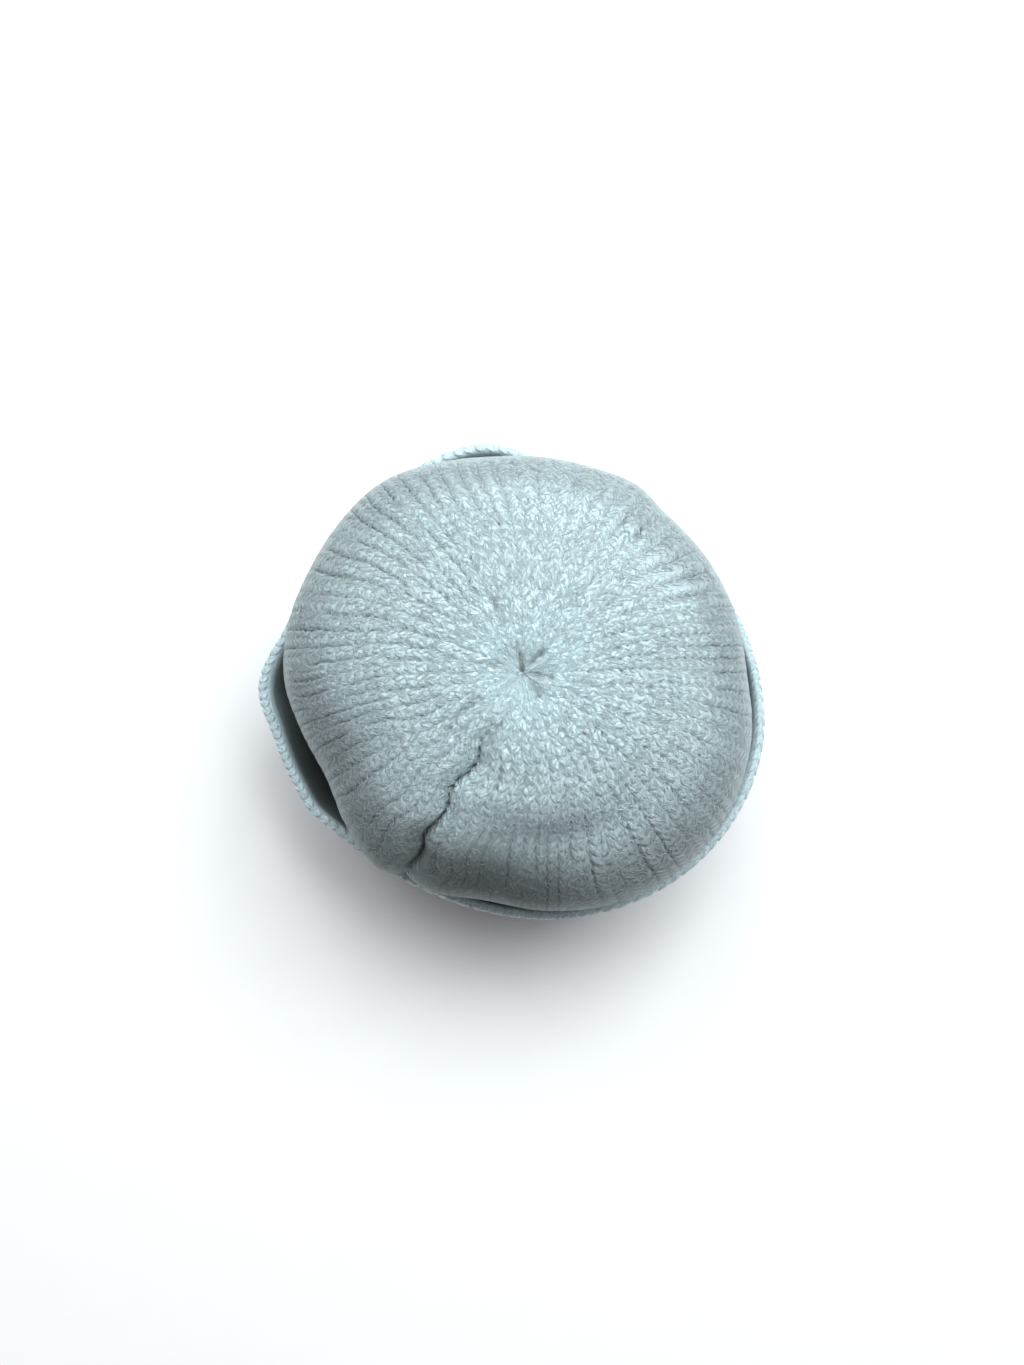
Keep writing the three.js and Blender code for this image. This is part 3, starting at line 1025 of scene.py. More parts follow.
def add_map(mesh: bpy.types.Mesh, name: str, chart: Array) -> None:
    """Adds a map from its value at each face corner."""
    layer = mesh.uv_layers.new(name=name)
    layer.data.foreach_set("uv", chart.astype(np.float32).ravel())


def add_bake_map(mesh: bpy.types.Mesh, turned: Array, down: Array) -> None:
    """Lays the piece out flat, from each vertex's share of the turn and share downwards."""
    chart = np.stack([part.ravel() for part in np.broadcast_arrays(turned, down)], 1)
    at, _ = corner_values(mesh, chart)
    add_map(mesh, BAKE_MAP, np.clip(at * (1 - 2 * MAP_MARGIN) + MAP_MARGIN, 0, 1))


def rib_angles(segment: Array) -> Array:
    """The rib bearing of each lengthwise line of a shell, closer together by the grooves."""
    steps = len(RIB_STEPS)
    number = segment.astype(int) % (steps * BODY_RIBS)
    return (number // steps + np.array(RIB_STEPS)[number % steps]) / BODY_RIBS * TURN


def joined_copies(name: str, template: bpy.types.Object, points: Array) -> bpy.types.Object:
    """Joins many bent copies of a template in one mesh, and removes the template.

    Args:
        name: the new piece's name.
        template: what was modelled once.
        points: copies x vertices x 3, the places of each copy's vertices.

    Returns:
        The joined piece, smooth shaded.
    """
    copies, size, _ = points.shape
    source = template.data
    corners = np.empty(len(source.loops), dtype=np.int32)
    source.loops.foreach_get("vertex_index", corners)
    counts = np.empty(len(source.polygons), dtype=np.int32)
    source.polygons.foreach_get("loop_total", counts)
    shift = np.arange(copies, dtype=np.int32)[:, None] * size
    mesh = bpy.data.meshes.new(name)
    mesh.vertices.add(copies * size)
    mesh.vertices.foreach_set("co", points.astype(np.float32).ravel())
    mesh.loops.add(copies * len(corners))
    mesh.loops.foreach_set("vertex_index", (corners + shift).astype(np.int32).ravel())
    mesh.polygons.add(copies * len(counts))
    starts = np.cumsum(np.append(0, np.tile(counts, copies)[:-1]))
    mesh.polygons.foreach_set("loop_start", starts.astype(np.int32))
    mesh.update(calc_edges=True)
    mesh.shade_smooth()
    bpy.data.objects.remove(template)
    piece = bpy.data.objects.new(name, mesh)
    bpy.context.collection.objects.link(piece)
    return piece


def hand_over(piece: bpy.types.Object, material: bpy.types.Material) -> None:
    """Dresses a piece, ties it to the hat's body and reports it."""
    piece.data.materials.clear()
    piece.data.materials.append(material)
    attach(piece, BODY)
    piece.data.calc_loop_triangles()
    log.info("%s: %d triangles", piece.name, len(piece.data.loop_triangles))


# ---------------------------------------------------------------- the cloth


@dataclass
class Crown:
    """The hollow ribbed cloth of the crown."""

    form: HatForm
    finish: bpy.types.Material
    close_rings: int = 134
    close_to: float = 112 * MM
    wall_rings: int = 16
    inner_rings: int = 34
    rim_rings: int = 3
    lining_groove: float = 0.7
    tone: float = 0.91
    # painted shade: how much the open grooves darken the cloth
    groove_dim: float = 0.54

    def build(self) -> bpy.types.Object:
        """Adds a ball and pushes its lower half up inside its upper half.

        Returns:
            The crown's cloth.
        """
        form = self.form
        segments = len(RIB_STEPS) * BODY_RIBS
        outer_rings = self.close_rings + self.wall_rings
        rings = outer_rings + self.rim_rings + self.inner_rings
        piece, ball = ball_template("crown_cloth", segments, rings)
        ring = np.round(np.arccos(np.clip(ball[:, 2], -1, 1)) / math.pi * rings)
        turned = np.mod(np.arctan2(ball[:, 1], ball[:, 0]), TURN)
        rib = rib_angles(np.round(turned / TURN * segments))
        rib = np.where((ring == 0) | (ring == rings), math.pi, rib)
        knots = (0, self.close_rings, outer_rings, outer_rings + self.rim_rings, rings)
        reach = (HAIR, self.close_to, form.length, form.length, HAIR)
        along = np.interp(ring, knots, reach)
        rim = np.clip((ring - outer_rings) / self.rim_rings, 0, 1)
        outer, near = form.crown_groove(rib, along)
        back, back_near = form.crown_groove(rib + TURN / BODY_RIBS / 2, along)
        inset = mix(outer, form.cloth - self.lining_groove * back, rim)
        move_vertices(piece.data, form.crown_point(rib, along, inset))
        piece.data.shade_smooth()
        # painted shade in the open grooves, and the crown's painted light and shade on its outer
        # face
        tone = self.tone - self.groove_dim * mix(near, back_near, rim)
        add_tone(piece.data, tone * mix(form.painted_shading(rib, along), 1.0, rim))
        add_bake_map(piece.data, rib / TURN, ring / rings)
        knit, first = corner_values(piece.data, np.stack([rib / TURN, along, ring], 1))
        count = form.ribs_at(knit[first, 1])
        shift = np.where(knit[first, 2] > outer_rings, 0.5, 0.0)
        column = knit[:, 0] * count + shift
        add_map(piece.data, KNIT_MAP, np.stack([column, knit[:, 1] / ROW], 1))
        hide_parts("crown")
        hand_over(piece, self.finish)
        return piece


@dataclass
class Cuff:
    """The turned-up band: its outer face, rolled edge, hidden face and flattened fold."""

    form: HatForm
    finish: bpy.types.Material
    face_rings: int = 40
    edge_rings: int = 9
    back_rings: int = 10
    face_low: float = 3.2 * MM
    face_middle: float = 30 * MM
    edge_low: float = 56 * MM
    back_low: float = 8 * MM
    # painted shade: how much the open grooves darken the cloth
    groove_dim: float = 0.6
    # where, how far and how much painted shade darkens the hidden face under the lip
    hidden_low: float = 6 * MM
    hidden_reach: float = 10 * MM
    hidden_dim: float = 0.55

    def build(self) -> bpy.types.Object:
        """Adds a ring and pushes its section into the shape of the folded band.

        Returns:
            The cuff's cloth.
        """
        form, rows = self.form, self._rows()
        segments, steps = len(RIB_STEPS) * BODY_RIBS, len(rows)
        deselect_all()
        bpy.ops.mesh.primitive_torus_add(
            major_segments=segments,
            minor_segments=steps,
            major_radius=1.0,
            minor_radius=0.25,
            location=(0, 0, 0),
        )
        piece = fresh_piece("cuff_cloth")
        ring = coordinates(piece.data)
        turned = np.mod(np.arctan2(ring[:, 1], ring[:, 0]), TURN)
        rib = rib_angles(np.round(turned / TURN * segments))
        turn = np.arctan2(ring[:, 2], np.hypot(ring[:, 0], ring[:, 1]) - 1)
        step = np.mod(np.round(turn / TURN * steps).astype(int), steps)
        points, near = np.zeros_like(ring), np.zeros(len(ring))
        for number, row in enumerate(rows):
            here = step == number
            points[here], near[here] = row(rib[here])
        move_vertices(piece.data, points)
        piece.data.shade_smooth()
        z, back = points[:, 2], self.face_rings + self.edge_rings - 2
        # painted shade: the hidden face that lies on the crown darkens deeper under the lip, and
        # the open grooves are darkened too
        hidden = (step >= back) & (z > self.hidden_low)
        deep = smoothstep(form.mean_lip - z, 0, self.hidden_reach) * hidden
        add_tone(piece.data, (1 - self.groove_dim * near) * (1 - self.hidden_dim * deep))
        add_bake_map(piece.data, rib / TURN, step / steps)
        knit, _ = corner_values(piece.data, np.stack([rib / TURN, z], 1))
        column, row = knit[:, 0] * BODY_RIBS, -knit[:, 1] / ROW
        add_map(piece.data, KNIT_MAP, np.stack([column, row], 1))
        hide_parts("cuff")
        hand_over(piece, self.finish)
        return piece

    def _rows(self) -> list[Callable[[Array], tuple[Array, Array]]]:
        """The section's rows, up the outer face, over the edge, down and round the fold."""
        form = self.form
        leg = form.cloth + form.layer_gap
        # each row of the fold: how far inwards it lies from the outer face, and how high
        fold = (
            (form.cloth - 0.2 * MM, 4.5 * MM),
            (leg - 0.1 * MM, 4.5 * MM),
            (leg, form.seam_height - form.gap),
            (leg + form.cloth, form.seam_height - form.gap),
            (leg + form.cloth - 0.1 * MM, 2.8 * MM),
            (leg + form.cloth - 0.8 * MM, 0.8 * MM),
            (leg + 1.2 * MM, 0.0),
            (1.8 * MM, 0.0),
            (0.5 * MM, 1.1 * MM),
        )
        faces = [(share, 0.0) for share in np.linspace(0, 1, self.face_rings)]
        turns = np.linspace(0, math.pi, self.edge_rings)[1:-1]
        backs = [(share, form.cloth) for share in np.linspace(1, 0, self.back_rings)]
        return (
            [self._face(*row) for row in faces]
            + [self._edge(turn) for turn in turns]
            + [self._face(*row) for row in backs]
            + [self._fold(*row) for row in fold]
        )

    def _face(self, share: float, under: float) -> Callable:
        """A row of the outer face, or of the face that lies on the crown."""

        def row(rib: Array) -> tuple[Array, Array]:
            """The row's points and how near they are to a groove."""
            form = self.form
            low = self.face_low if under == 0 else self.back_low
            at = form.turned_up(rib, np.full_like(rib, self.face_middle))
            z = mix(low, form.lip_height(at) - form.cloth / 2, share)
            depth, near = form.cuff_groove(rib, z)
            outside = 1.0 if under == 0 else 0.0
            return form.cuff_point(rib, z, under + outside * depth), outside * near

        return row

    def _edge(self, turn: float) -> Callable:
        """A row of the rolled upper edge."""

        def row(rib: Array) -> tuple[Array, Array]:
            """The row's points and how near they are to a groove."""
            form = self.form
            depth, near = form.cuff_groove(rib, np.full_like(rib, self.edge_low))
            share = max(0.0, math.cos(turn))
            points = form.edge_point(rib, np.full_like(rib, turn), -share * depth)
            return points, share * near

        return row

    def _fold(self, inward: float, z: float) -> Callable:
        """A row of the fold."""

        def row(rib: Array) -> tuple[Array, Array]:
            """The row's points and how near they are to a groove."""
            form = self.form
            at = form.rib_bearing(rib, np.full_like(rib, form.length))
            return form.around(form.fold(at) - inward, at, z), np.zeros_like(rib)

        return row


# ---------------------------------------------------------------- stitches and nap


@dataclass
class Seeds:
    """Where stitch legs lie, a row for each.

    Attributes:
        rib: the bearing of the rib's middle.
        along: the distance over the cloth.
        side: -1 and 1 for the two legs of a V.
        step: the angle from one rib to the next.
        spread: how wide the V is, from 0, nearly shut, to 1.
    """

    rib: Array
    along: Array
    side: Array
    step: Array
    spread: Array

    def __len__(self) -> int:
        """How many there are."""
        return len(self.rib)

    def repeated(self, times: int) -> "Seeds":
        """Each seed several times over."""
        return Seeds(*(np.repeat(column, times, axis=0) for column in vars(self).values()))


def leg_grid(ribs: int, rows: Array) -> Seeds:
    """Two wide legs for each rib and row."""
    rib = (np.arange(ribs) + 0.5) / ribs * TURN
    rib, along, side = np.meshgrid(rib, rows, np.array([-1.0, 1.0]), indexing="ij")
    columns = [part.reshape(-1, 1) for part in (rib, along, side)]
    return Seeds(*columns, np.full_like(columns[0], TURN / ribs), np.ones_like(columns[0]))


def numbers(count: int, step: float) -> Array:
    """Each yarn's own number, a row for each."""
    return np.arange(count)[:, None] * step


def joined_seeds(parts: list[Seeds]) -> Seeds:
    """Several lists of seeds as one."""
    return Seeds(*(np.concatenate(columns) for columns in zip(*(vars(p).values() for p in parts))))


@dataclass
class Bundle:
    """Legs or fibres bent to shape, a row for each and a column for each vertex.

    Attributes:
        template: what each is a copy of.
        down: how far each vertex is from its seed towards the stitch's point.
        aside: how far it is from the rib's middle round the hat, in metres.
        off: how far it stands off the cloth where the stitches are plump.
        over: how much further it stands off anywhere.
        tone: how light it is.
        run: its place along the fibres.
        round: its place across the fibres.
    """

    template: bpy.types.Object
    down: Array
    aside: Array
    off: Array
    over: Array
    tone: Array
    run: Array
    round: Array


@dataclass
class Stitching:
    """The V stitches of the ribs: two plump legs each, with fibres brushed up on them.

    Attributes:
        half_length: half a leg's length where the V is wide.
        half_width: half a leg's width, as a share of its rib's.
        widest: the most that half width can be.
        height: how far a leg stands off the cloth.
        tuck: how far its two ends are tucked down.
        sunk: how far the nap sinks it over the shoulder.
        loose: how unevenly the legs follow each other, as a share of a row.
        fibre_width: half the width of a fibre.
        fibre_bow: how far a fibre bows off its leg.
        fibre_tone: how light the fibres are.
        fibre_tones: how much they differ.
        strong_more: how much more they differ round the middle.
        strong_reach: how far that goes.
        spread_from: where the V is shut, and where it is wide.
        nearest: the least distance from the centre that a rib's width is taken at.
        margin: what is added to every half width.
        own_width: how much the widths differ.
        own_swing: how far a leg's ends swing aside.
        own_lift: how much the heights differ.
        end_power: how blunt a leg's ends are.
        crown_dim: how much painted shade an open groove puts on a leg on the crown.
        flat_tone: how light a leg is where the nap hides it.
        full_plump: the plumpness at which a leg has its whole own tone.
        least_over: how far the fibres stand off where the legs are flat, as a share.
        cuff_rows: the cuff's first and last rows.
        cuff_span: the lowest and the highest that its legs reach.
        cuff_plump: how plump its stitches are.
        cuff_dim: how much painted shade an open groove puts on them.
        yarn_step: how far apart two yarns' numbers are.
        first_row: where the first row lies, in rows.
    """

    form: HatForm
    finish: bpy.types.Material
    half_length: float = 0.62 * ROW
    half_width: float = 0.3
    widest: float = 0.95 * MM
    height: float = 0.38 * MM
    tuck: float = 0.34 * MM
    sunk: float = 0.03 * MM
    loose: float = 0.09
    fibre_width: float = 0.1 * MM
    fibre_bow: float = 0.1 * MM
    fibre_tone: float = 1.07
    fibre_tones: float = 0.4
    strong_more: float = 0.4
    strong_reach: float = 26 * MM
    spread_from: Span = (2.5 * MM, 8 * MM)
    nearest: float = 1.5 * MM
    margin: float = 0.1 * MM
    own_width: float = 0.1
    own_swing: float = 0.35 * MM
    own_lift: float = 0.06 * MM
    end_power: float = -0.12
    crown_dim: float = 0.55
    flat_tone: float = 0.97
    full_plump: float = 0.5
    least_over: float = 0.4
    cuff_rows: Span = (1.6, 19)
    cuff_span: Span = (3 * MM, 57 * MM)
    cuff_plump: float = 0.35
    cuff_dim: float = 0.5
    yarn_step: float = 7.3
    first_row: float = 0.75

    def crown_seeds(self, start: float, end: float) -> Seeds:
        """Where the crown's legs lie between two distances from the centre."""
        limits = [r.start for r in ROUNDS[1:]] + [end]
        parts = []
        for zone, limit in zip(ROUNDS, limits):
            rows = (np.arange(0, int(limit / ROW) + 2) + self.first_row) * ROW
            rows = rows[(rows >= max(zone.start, start)) & (rows < min(limit, end))]
            parts.append(leg_grid(zone.ribs, rows))
        seeds = joined_seeds(parts)
        seeds.spread = smoothstep(seeds.along, *self.spread_from)
        return seeds

    def crown(self, name: str, seeds: Seeds, seed: int) -> bpy.types.Object:
        """Lays legs on the crown."""
        return self._on_crown(name, seeds, self._legs(seeds, seed), 1.0, 1.0)

    def crown_fibres(self, name: str, seeds: Seeds, each: int, seed: int) -> bpy.types.Object:
        """Lays fibres on the crown's legs, several to each."""
        many = seeds.repeated(each)
        return self._on_crown(name, many, self._fibres(many, seed), 0.35, 0.7)

    def cuff(self, name: str, seed: int) -> bpy.types.Object:
        """Lays the legs of the cuff's outer face, whose stitches are upside down."""
        seeds = leg_grid(BODY_RIBS, np.arange(*self.cuff_rows) * ROW)
        form, legs = self.form, self._legs(seeds, seed)
        z = np.clip(seeds.along - legs.down, *self.cuff_span)
        rib = seeds.rib + legs.aside / form.fold_radius
        depth, near = form.cuff_groove(rib, z)
        points = form.cuff_point(rib, z, depth - self.cuff_plump * legs.off)
        piece = joined_copies(name, legs.template, points)
        # painted shade in the open grooves
        add_tone(piece.data, legs.tone - self.cuff_dim * near)
        add_yarn(piece.data, legs.run, legs.round, numbers(len(seeds), self.yarn_step))
        add_bake_map(piece.data, rib / TURN, z / form.mean_lip)
        hand_over(piece, self.finish)
        return piece

    def _on_crown(
        self, name: str, seeds: Seeds, legs: Bundle, shade: float, lasting: float
    ) -> bpy.types.Object:
        """Lays legs or fibres on the crown's ribs.

        Args:
            name: the piece's name.
            seeds: where they lie.
            legs: their shapes.
            shade: how much painted shade the grooves put on them, and how far the nap sinks them.
            lasting: how fast their own tones fade where the stitches are flat.

        Returns:
            The joined legs.
        """
        form = self.form
        at = np.clip(seeds.along + legs.down, 0.5 * MM, form.length - 0.2 * MM)
        reach = np.clip(mix(seeds.along, at, 0.5), 1.2 * MM, form.mean_shoulder)
        rib = seeds.rib + legs.aside / reach
        depth, near = form.crown_groove(rib, at)
        plump = form.plumpness(seeds.rib, at)
        flat = form.matted(seeds.rib, at)
        raised = legs.off * plump + legs.over * (self.least_over + plump)
        raised = raised - self.sunk * shade * flat
        points = form.crown_point(rib, at, depth - raised)
        piece = joined_copies(name, legs.template, points)
        own = np.minimum(plump / self.full_plump, 1) ** lasting
        # painted shade in the open grooves; below, the crown's painted light and shade
        tone = mix(self.flat_tone, legs.tone, own) - self.crown_dim * shade * near
        add_tone(piece.data, tone * form.painted_shading(rib, at))
        add_yarn(piece.data, legs.run, legs.round, numbers(len(seeds), self.yarn_step))
        add_bake_map(piece.data, rib / TURN, at / form.length)
        hand_over(piece, self.finish)
        return piece

    def _path(self, seeds: Seeds, share: Array) -> tuple[Array, Array]:
        """A leg's middle line.

        Args:
            seeds: the legs.
            share: from 0 at the leg's open end to 1 at the V's point.

        Returns:
            How far it lies aside from the rib's middle and down from the seed.
        """
        quarter = share * math.pi / 2
        bowed = 0.5 * (1 - share) + 0.5 * np.cos(quarter)
        shut, wide = 0.30 - 0.12 * share, 0.03 + 0.43 * bowed  # shares of the rib's width
        aside = mix(shut, wide, seeds.spread)
        fall = mix(share, 0.5 * share + 0.5 * np.sin(quarter), seeds.spread)
        length = self.half_length * (2 - seeds.spread)
        return seeds.side * aside * self._pitch(seeds), length * (2 * fall - 1)

    def _pitch(self, seeds: Seeds) -> Array:
        """How wide each leg's rib is."""
        return seeds.step * np.clip(seeds.along, self.nearest, self.form.mean_shoulder)

    def _width(self, seeds: Seeds) -> Array:
        """How far each leg reaches to each side of its own middle line."""
        return np.minimum(self.widest, self.half_width * self._pitch(seeds) + self.margin)

    def _tucked(self, t: Array) -> Array:
        """How far a leg's middle line stands off the cloth, from -1 to 1 along it."""
        return self.tuck * (t - 0.3) * (1 - 0.5 * t)

    def _legs(self, seeds: Seeds, seed: int) -> Bundle:
        """Shapes a leg for each seed.

        Args:
            seeds: where the legs lie.
            seed: the seed of their small differences.

        Returns:
            The legs.
        """
        template, ball = ball_template("leg", *LEG_FACES)
        t, across, out = ball[:, 2], ball[:, 0], ball[:, 1]
        luck = np.random.default_rng(seed).uniform(-1, 1, (5, len(seeds), 1))
        plump = np.maximum(1 - t * t, 1e-3) ** self.end_power
        width = self._width(seeds) * (1 + self.own_width * luck[1])
        swing = self.own_swing * luck[2] * t * (1.3 - seeds.spread)
        aside, down = self._offset(seeds, (1 + t) / 2, width * across * plump + swing)
        down = down + self.loose * ROW * luck[3]
        off = self._tucked(t) + self.own_lift * luck[4] + self.height * out * plump
        # painted shade: darker at the tucked ends and on the underside that lies on the cloth; the
        # rest is each leg's own chance tone
        tone = 0.93 - 0.1 * np.abs(t) ** 3 - 0.08 * (out < -0.2) + 0.05 * luck[0]
        return Bundle(template, down, aside, off, 0 * off, tone, 0.9 * t, 3.2 * across)

    def _fibres(self, seeds: Seeds, seed: int) -> Bundle:
        """Shapes a fibre for each seed, on the leg that lies there.

        Args:
            seeds: where the fibres' legs lie.
            seed: the seed of their differences.

        Returns:
            The fibres.
        """
        template, ball = ball_template("fibre", *FIBRE_FACES)
        t, across, out = ball[:, 2], ball[:, 0], ball[:, 1]
        luck = np.random.default_rng(seed).uniform(-1, 1, (6, len(seeds), 1))
        share = np.clip(0.5 + 0.25 * luck[0] + (0.4 + 0.1 * luck[1]) * t, -0.12, 1.12)
        over = self._width(seeds) * (0.95 * luck[2] + 0.6 * luck[3] * t)
        thick = self.fibre_width * (1 + 0.3 * luck[4])
        aside, down = self._offset(seeds, share, over + thick * across)
        off = self._tucked(2 * share - 1) + self.height * np.sqrt(1 - 0.7 * luck[2] ** 2)
        over = self.fibre_bow * (1 - t * t) + 0.6 * thick * out
        strong = 1 + self.strong_more * bell(seeds.along / self.strong_reach)
        tone = self.fibre_tone + self.fibre_tones * luck[5] * strong + 0 * t
        return Bundle(template, down, aside, off, over, tone, 0.6 * t, across)

    def _offset(self, seeds: Seeds, share: Array, over: Array) -> tuple[Array, Array]:
        """Points beside a leg's middle line.

        Args:
            seeds: the legs.
            share: the place along each leg, from 0 to 1.
            over: how far beside the line.

        Returns:
            How far they lie aside and down.
        """
        aside, down = self._path(seeds, share)
        ahead_aside, ahead_down = self._path(seeds, share + 0.05)
        back_aside, back_down = self._path(seeds, share - 0.05)
        run = np.stack(np.broadcast_arrays(ahead_aside - back_aside, ahead_down - back_down), -1)
        run = unit(run)
        return aside - over * run[..., 1], down + over * run[..., 0]


@dataclass
class Nap:
    """Fine fibres that lie over the stitches; their lengths, widths and lifts in millimetres."""

    form: HatForm
    finish: bpy.types.Material
    reach: float = 72 * MM
    crowding: float = 0.78
    slant: float = 0.7
    bend: float = 0.4
    half_lengths: Span = (0.8, 1.7)
    half_widths: Span = (0.06, 0.11)
    lifts: Span = (0.02, 0.28)
    tones: Span = (0.82, 1.22)
    bow: float = 0.25 * MM
    groove_share: float = 0.6
    yarn_step: float = 3.1

    def build(self, name: str, count: int, seed: int) -> bpy.types.Object:
        """Scatters fibres over the crown.

        Args:
            name: the piece's name.
            count: how many there are.
            seed: the scatter's seed.

        Returns:
            The joined fibres.
        """
        template, ball = ball_template("fibre", *FIBRE_FACES)
        t, across, out = ball[:, 2], ball[:, 0], ball[:, 1]
        chance = np.random.default_rng(seed)
        form, one = self.form, (count, 1)
        along = self.reach * chance.uniform(0.01, 1, one) ** self.crowding
        rib = chance.uniform(0, TURN, one)
        length = chance.uniform(*self.half_lengths, one) * MM
        width = chance.uniform(*self.half_widths, one) * MM
        lift = chance.uniform(*self.lifts, one) * MM
        turned = chance.normal(0, self.slant, one) + chance.normal(0, self.bend, one) * t
        down = length * t * np.cos(turned) - width * across * np.sin(turned)
        aside = length * t * np.sin(turned) + width * across * np.cos(turned)
        at = np.maximum(along + down, 0.8 * MM)
        where = rib + aside / np.maximum(along, 1.5 * MM)
        depth, _ = form.crown_groove(where, at)
        bow = lift + self.bow * (1 - t * t) + width * out * 0.7
        points = form.crown_point(where, at, self.groove_share * depth - bow)
        piece = joined_copies(name, template, points)
        tone = chance.uniform(*self.tones, one) + 0 * t
        # each fibre's own chance tone, times the crown's painted light and shade
        add_tone(piece.data, tone * form.painted_shading(where, at))
        add_yarn(piece.data, 0.5 * t, across, numbers(count, self.yarn_step))
        add_bake_map(piece.data, where / TURN, at / form.length)
        hand_over(piece, self.finish)
        return piece


@dataclass(frozen=True)
class Fleck:
    """A speck caught in the wool: its rib and lie in degrees, its sizes in metres."""

    name: str
    rib: float
    along: float
    half_length: float
    half_width: float
    lie: float
    colour: Colour


FLECKS = (
    Fleck("red_fleck", 315, 22.7 * MM, 0.8 * MM, 0.24 * MM, 30, (0.36, 0.2, 0.21)),
    Fleck("front_speck", 336.2, 54.1 * MM, 0.22 * MM, 0.2 * MM, 0, (0.05, 0.05, 0.055)),
    Fleck("side_speck", 354.5, 69.3 * MM, 0.25 * MM, 0.2 * MM, 0, (0.07, 0.07, 0.075)),
)


@dataclass
class Specks:
    """The few specks of dust and lint that the wool has caught."""

    form: HatForm
    stand: float = 0.35 * MM

    def build(self) -> list[bpy.types.Object]:
        """Lays each speck on the crown."""
        return [self._lay(fleck) for fleck in FLECKS]

    def _lay(self, fleck: Fleck) -> bpy.types.Object:
        """Shapes one speck."""
        piece, ball = ball_template(fleck.name, *LEG_FACES)
        run, across = fleck.half_length * ball[:, 2], fleck.half_width * ball[:, 0]
        lie = fleck.lie * DEGREE
        at = fleck.along + run * math.cos(lie) - across * math.sin(lie)
        aside = run * math.sin(lie) + across * math.cos(lie)
        rib = fleck.rib * DEGREE + aside / fleck.along
        inset = -self.stand - fleck.half_width * ball[:, 1]
        move_vertices(piece.data, self.form.crown_point(rib, at, inset))
        piece.data.shade_smooth()
        hand_over(piece, PlainFinish(fleck.name, fleck.colour).build())
        return piece


@dataclass
class EdgeChain:
    """The chain of slanted stitches round the cuff's upper edge.

    Attributes:
        links: how many there are in each of the two rows.
        middles: where the two rows lie round the roll, in degrees.
        half_turn: how far round the roll a link reaches to each side.
        lean: how far a link leans, as a share of its own step.
        half_width: half a link's width, as a share of its own step.
        sunk: how far the links are pressed into the edge.
        bow: how far their middles stand off it.
        half_thick: half a link's thickness.
        seed: the seed of their small differences.
        yarn_step: how far apart two links' numbers are.
    """

    form: HatForm
    finish: bpy.types.Material
    links: int = 2 * BODY_RIBS
    middles: Span = (40.0, 118.0)
    half_turn: float = 42 * DEGREE
    lean: float = 0.3
    half_width: float = 0.42
    sunk: float = 0.1 * MM
    bow: float = 0.05 * MM
    half_thick: float = 0.15 * MM
    seed: int = 31
    yarn_step: float = 5.7

    def build(self) -> bpy.types.Object:
        """Lays two rows of slanted links round the edge.

        Returns:
            The joined links.
        """
        template, ball = ball_template("link", *LEG_FACES)
        t, across, out = ball[:, 2], ball[:, 0], ball[:, 1]
        rib = (np.arange(self.links) + 0.5) / self.links * TURN
        rib, row = np.meshgrid(rib, np.array([0.0, 1.0]), indexing="ij")
        rib, row = rib.reshape(-1, 1), row.reshape(-1, 1)
        luck = np.random.default_rng(self.seed).uniform(-1, 1, (len(rib), 1))
        middle = mix(*self.middles, row) * DEGREE
        turn = middle + self.half_turn * t * (1 + 0.1 * luck)
        aside = mix(self.lean, -self.lean, row) * t + self.half_width * across + 0.06 * luck
        where = rib + aside * TURN / self.links
        lift = self.bow * (1 - t * t) - self.sunk + self.half_thick * out
        points = self.form.edge_point(where, turn, lift)
        piece = joined_copies("edge_chain", template, points)
        # painted shade at the links' tucked ends, with each link's own chance tone
        add_tone(piece.data, 1.04 - 0.14 * np.abs(t) ** 3 + 0.08 * luck)
        add_yarn(piece.data, 0.6 * t, 2.6 * across, numbers(len(rib), self.yarn_step))
        add_bake_map(piece.data, where / TURN, turn / math.pi)
        hand_over(piece, self.finish)
        return piece


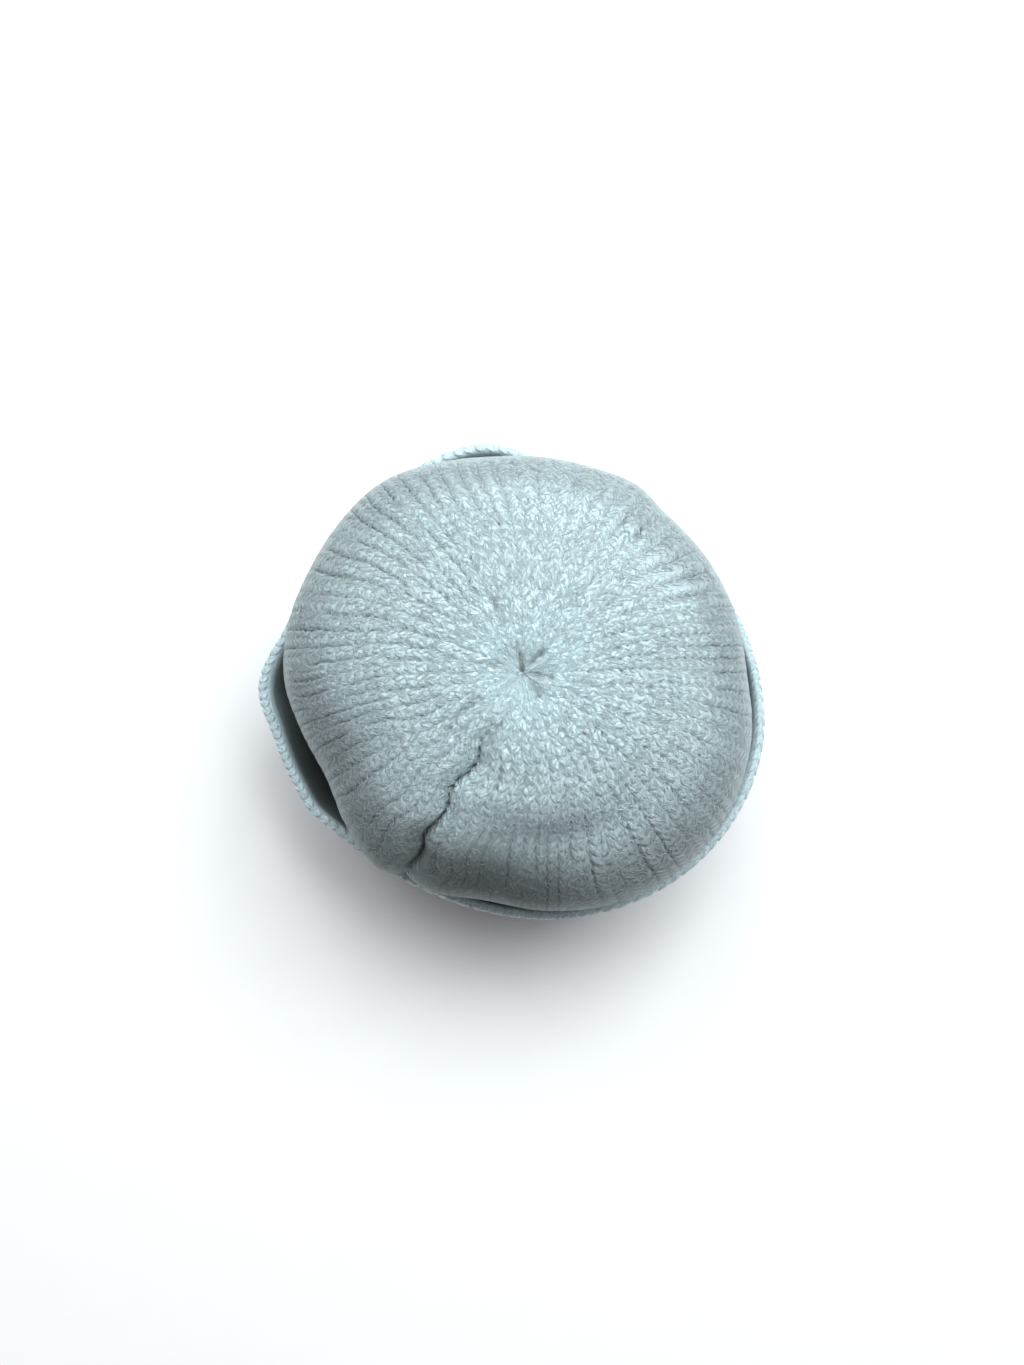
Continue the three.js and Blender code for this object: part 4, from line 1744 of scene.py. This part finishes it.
@dataclass
class ClosingYarn:
    """The two-ply yarn that draws the last stitches together, under the crown's centre."""

    form: HatForm
    finish: bpy.types.Material
    thick: float = 1.8 * MM
    inner: float = 2.8 * MM
    outer: float = 6.4 * MM
    turns: float = 1.7
    coil: float = 0.7
    tail: float = 24 * MM
    bearing: float = 150 * DEGREE
    plies: int = 2
    twist: float = 4.2 * MM
    bend: float = 0.5
    rings: int = 220
    facets: int = 8
    samples: int = 2000
    probe: float = 0.002
    tone: float = 0.95
    waves: float = 40
    yarn_step: float = 9.0

    def path(self, t: Array) -> Array:
        """Points of the yarn's middle line, from 0 at its start to 1 at its end."""
        form = self.form
        clear = form.cloth + 2 * form.gap + self.thick / 2
        coiled = np.minimum(1, t / self.coil)
        laid = np.maximum(0, (t - self.coil) / (1 - self.coil))
        along = mix(mix(self.inner, self.outer, coiled), self.tail, laid)
        bend = self.bend * np.sin(laid * math.pi / 2)
        bearing = self.bearing - self.turns * TURN * (1 - coiled) + bend
        return form.crown_point(bearing, along, np.full_like(t, clear))

    def build(self) -> bpy.types.Object:
        """Stretches a ball for each ply along the line and twists it round the others.

        Returns:
            The closing yarn.
        """
        template, ball = ball_template("ply", self.facets, self.rings)
        share = np.round(np.arccos(np.clip(ball[:, 2], -1, 1)) / math.pi * self.rings)
        share = share / self.rings
        middle = self.path(share)
        ahead = self.path(np.minimum(share + self.probe, 1))
        ahead = unit(ahead - self.path(share - self.probe))
        side = unit(np.cross(ahead, np.array([0.0, 0.0, 1.0])))
        rise = np.cross(side, ahead)
        line = self.path(np.linspace(0, 1, self.samples))
        length = float(np.linalg.norm(np.diff(line, axis=0), axis=1).sum())
        radius = self.thick / 4
        end = np.clip(np.minimum(share, 1 - share) * length / radius, 0, 1)
        around = np.arctan2(ball[:, 1], ball[:, 0])
        size = radius * np.sqrt(end * (2 - end))
        plies = []
        for number in range(self.plies):
            turn = share * length / self.twist * TURN + number * TURN / self.plies
            x = radius * np.cos(turn) + size * np.cos(around)
            y = radius * np.sin(turn) + size * np.sin(around)
            plies.append(middle + side * x[:, None] + rise * y[:, None])
        piece = joined_copies("closing_ply", template, np.stack(plies))
        add_tone(piece.data, np.full((self.plies, len(share)), self.tone))
        number = numbers(self.plies, self.yarn_step)
        add_yarn(piece.data, share * self.waves, 2 * np.cos(around), number)
        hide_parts("closing_yarn")
        hand_over(piece, self.finish)
        return piece


# ---------------------------------------------------------------- the stage


@dataclass(frozen=True)
class Lamp:
    """A soft square lamp: where it hangs, how wide it is, and its light."""

    name: str
    place: Place
    size: float
    watts: float
    colour: Colour


LAMPS = (
    Lamp("key", (0.37, 0.41, 1.02), 0.7, 13.3, (0.92, 0.98, 1.0)),
    Lamp("back", (-0.21, 0.51, 1.02), 0.7, 8.1, (0.92, 0.98, 1.0)),
)


@dataclass
class Studio:
    """The pale floor, soft lamps and camera."""

    floor_size: float = 8.0
    floor_colour: Colour = (0.9, 0.9, 0.9)
    aim_height: float = 60 * MM
    elevation: float = 86 * DEGREE
    distance: float = 0.416
    look_at: Place = (0.0, -0.57 * MM, 58 * MM)
    lens: float = 36.1
    room: Colour = (1.0, 0.88, 0.92)
    room_strength: float = 0.185
    lamps: tuple[Lamp, ...] = field(default=LAMPS)

    def build(self) -> None:
        """Sets the stage."""
        self._floor()
        self._light()
        self._camera()

    def _floor(self) -> None:
        """Adds the floor, on which the hat stands."""
        deselect_all()
        bpy.ops.mesh.primitive_plane_add(size=self.floor_size, location=(0, 0, 0))
        floor = fresh_piece("floor")
        floor.data.materials.append(PlainFinish("pale_floor", self.floor_colour).build())

    def _light(self) -> None:
        """Hangs the lamps and sets the dim light all round."""
        scene = bpy.context.scene
        world = bpy.data.worlds.new("room")
        world.use_nodes = True
        background = world.node_tree.nodes["Background"]
        background.inputs["Color"].default_value = (*self.room, 1.0)
        background.inputs["Strength"].default_value = self.room_strength
        scene.world = world
        scene.view_settings.view_transform = "Standard"
        for lamp in self.lamps:
            light = bpy.data.lights.new(lamp.name, "AREA")
            light.size, light.energy, light.color = lamp.size, lamp.watts, lamp.colour
            holder = bpy.data.objects.new(lamp.name, light)
            holder.location = lamp.place
            aim = Vector(lamp.place) - Vector((0, 0, self.aim_height))
            holder.rotation_euler = aim.to_track_quat("Z", "Y").to_euler()
            bpy.context.collection.objects.link(holder)

    def _camera(self) -> None:
        """Adds the camera, nearly straight above."""
        data = bpy.data.cameras.new("camera")
        data.lens = self.lens
        camera = bpy.data.objects.new("camera", data)
        back = Vector((0, -math.cos(self.elevation), math.sin(self.elevation)))
        camera.location = Vector(self.look_at) + self.distance * back
        camera.rotation_euler = back.to_track_quat("Z", "Y").to_euler()
        bpy.context.collection.objects.link(camera)
        bpy.context.scene.camera = camera


# ---------------------------------------------------------------- all together


PLUMP_SPAN = (0.5 * MM, 74 * MM)  # the stitches that carry fibres of their own
WALL_SPAN = (74 * MM, 104 * MM)
FIBRES_EACH = 6
NAP_FIBRES = 14000


def main() -> None:
    """Builds the hat and its stage."""
    logging.basicConfig(level=logging.INFO, format="%(message)s")
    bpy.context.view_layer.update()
    Studio().build()
    form = HatForm()
    cloth = WoolFinish("brushed_cloth", Lay.KNIT).build()
    yarn = WoolFinish("brushed_yarn", Lay.STRAND, bump=0.5).build()
    Crown(form, cloth).build()
    Cuff(form, cloth).build()
    stitching = Stitching(form, yarn)
    top, wall = stitching.crown_seeds(*PLUMP_SPAN), stitching.crown_seeds(*WALL_SPAN)
    stitching.crown("crown_top_stitches", top, seed=21)
    stitching.crown_fibres("crown_fibres", top, FIBRES_EACH, seed=24)
    stitching.crown("crown_wall_stitches", wall, seed=22)
    stitching.cuff("cuff_stitches", seed=23)
    EdgeChain(form, yarn).build()
    ClosingYarn(form, yarn).build()
    Nap(form, yarn).build("crown_nap", NAP_FIBRES, seed=41)
    Specks(form).build()


if __name__ == "__main__":
    main()
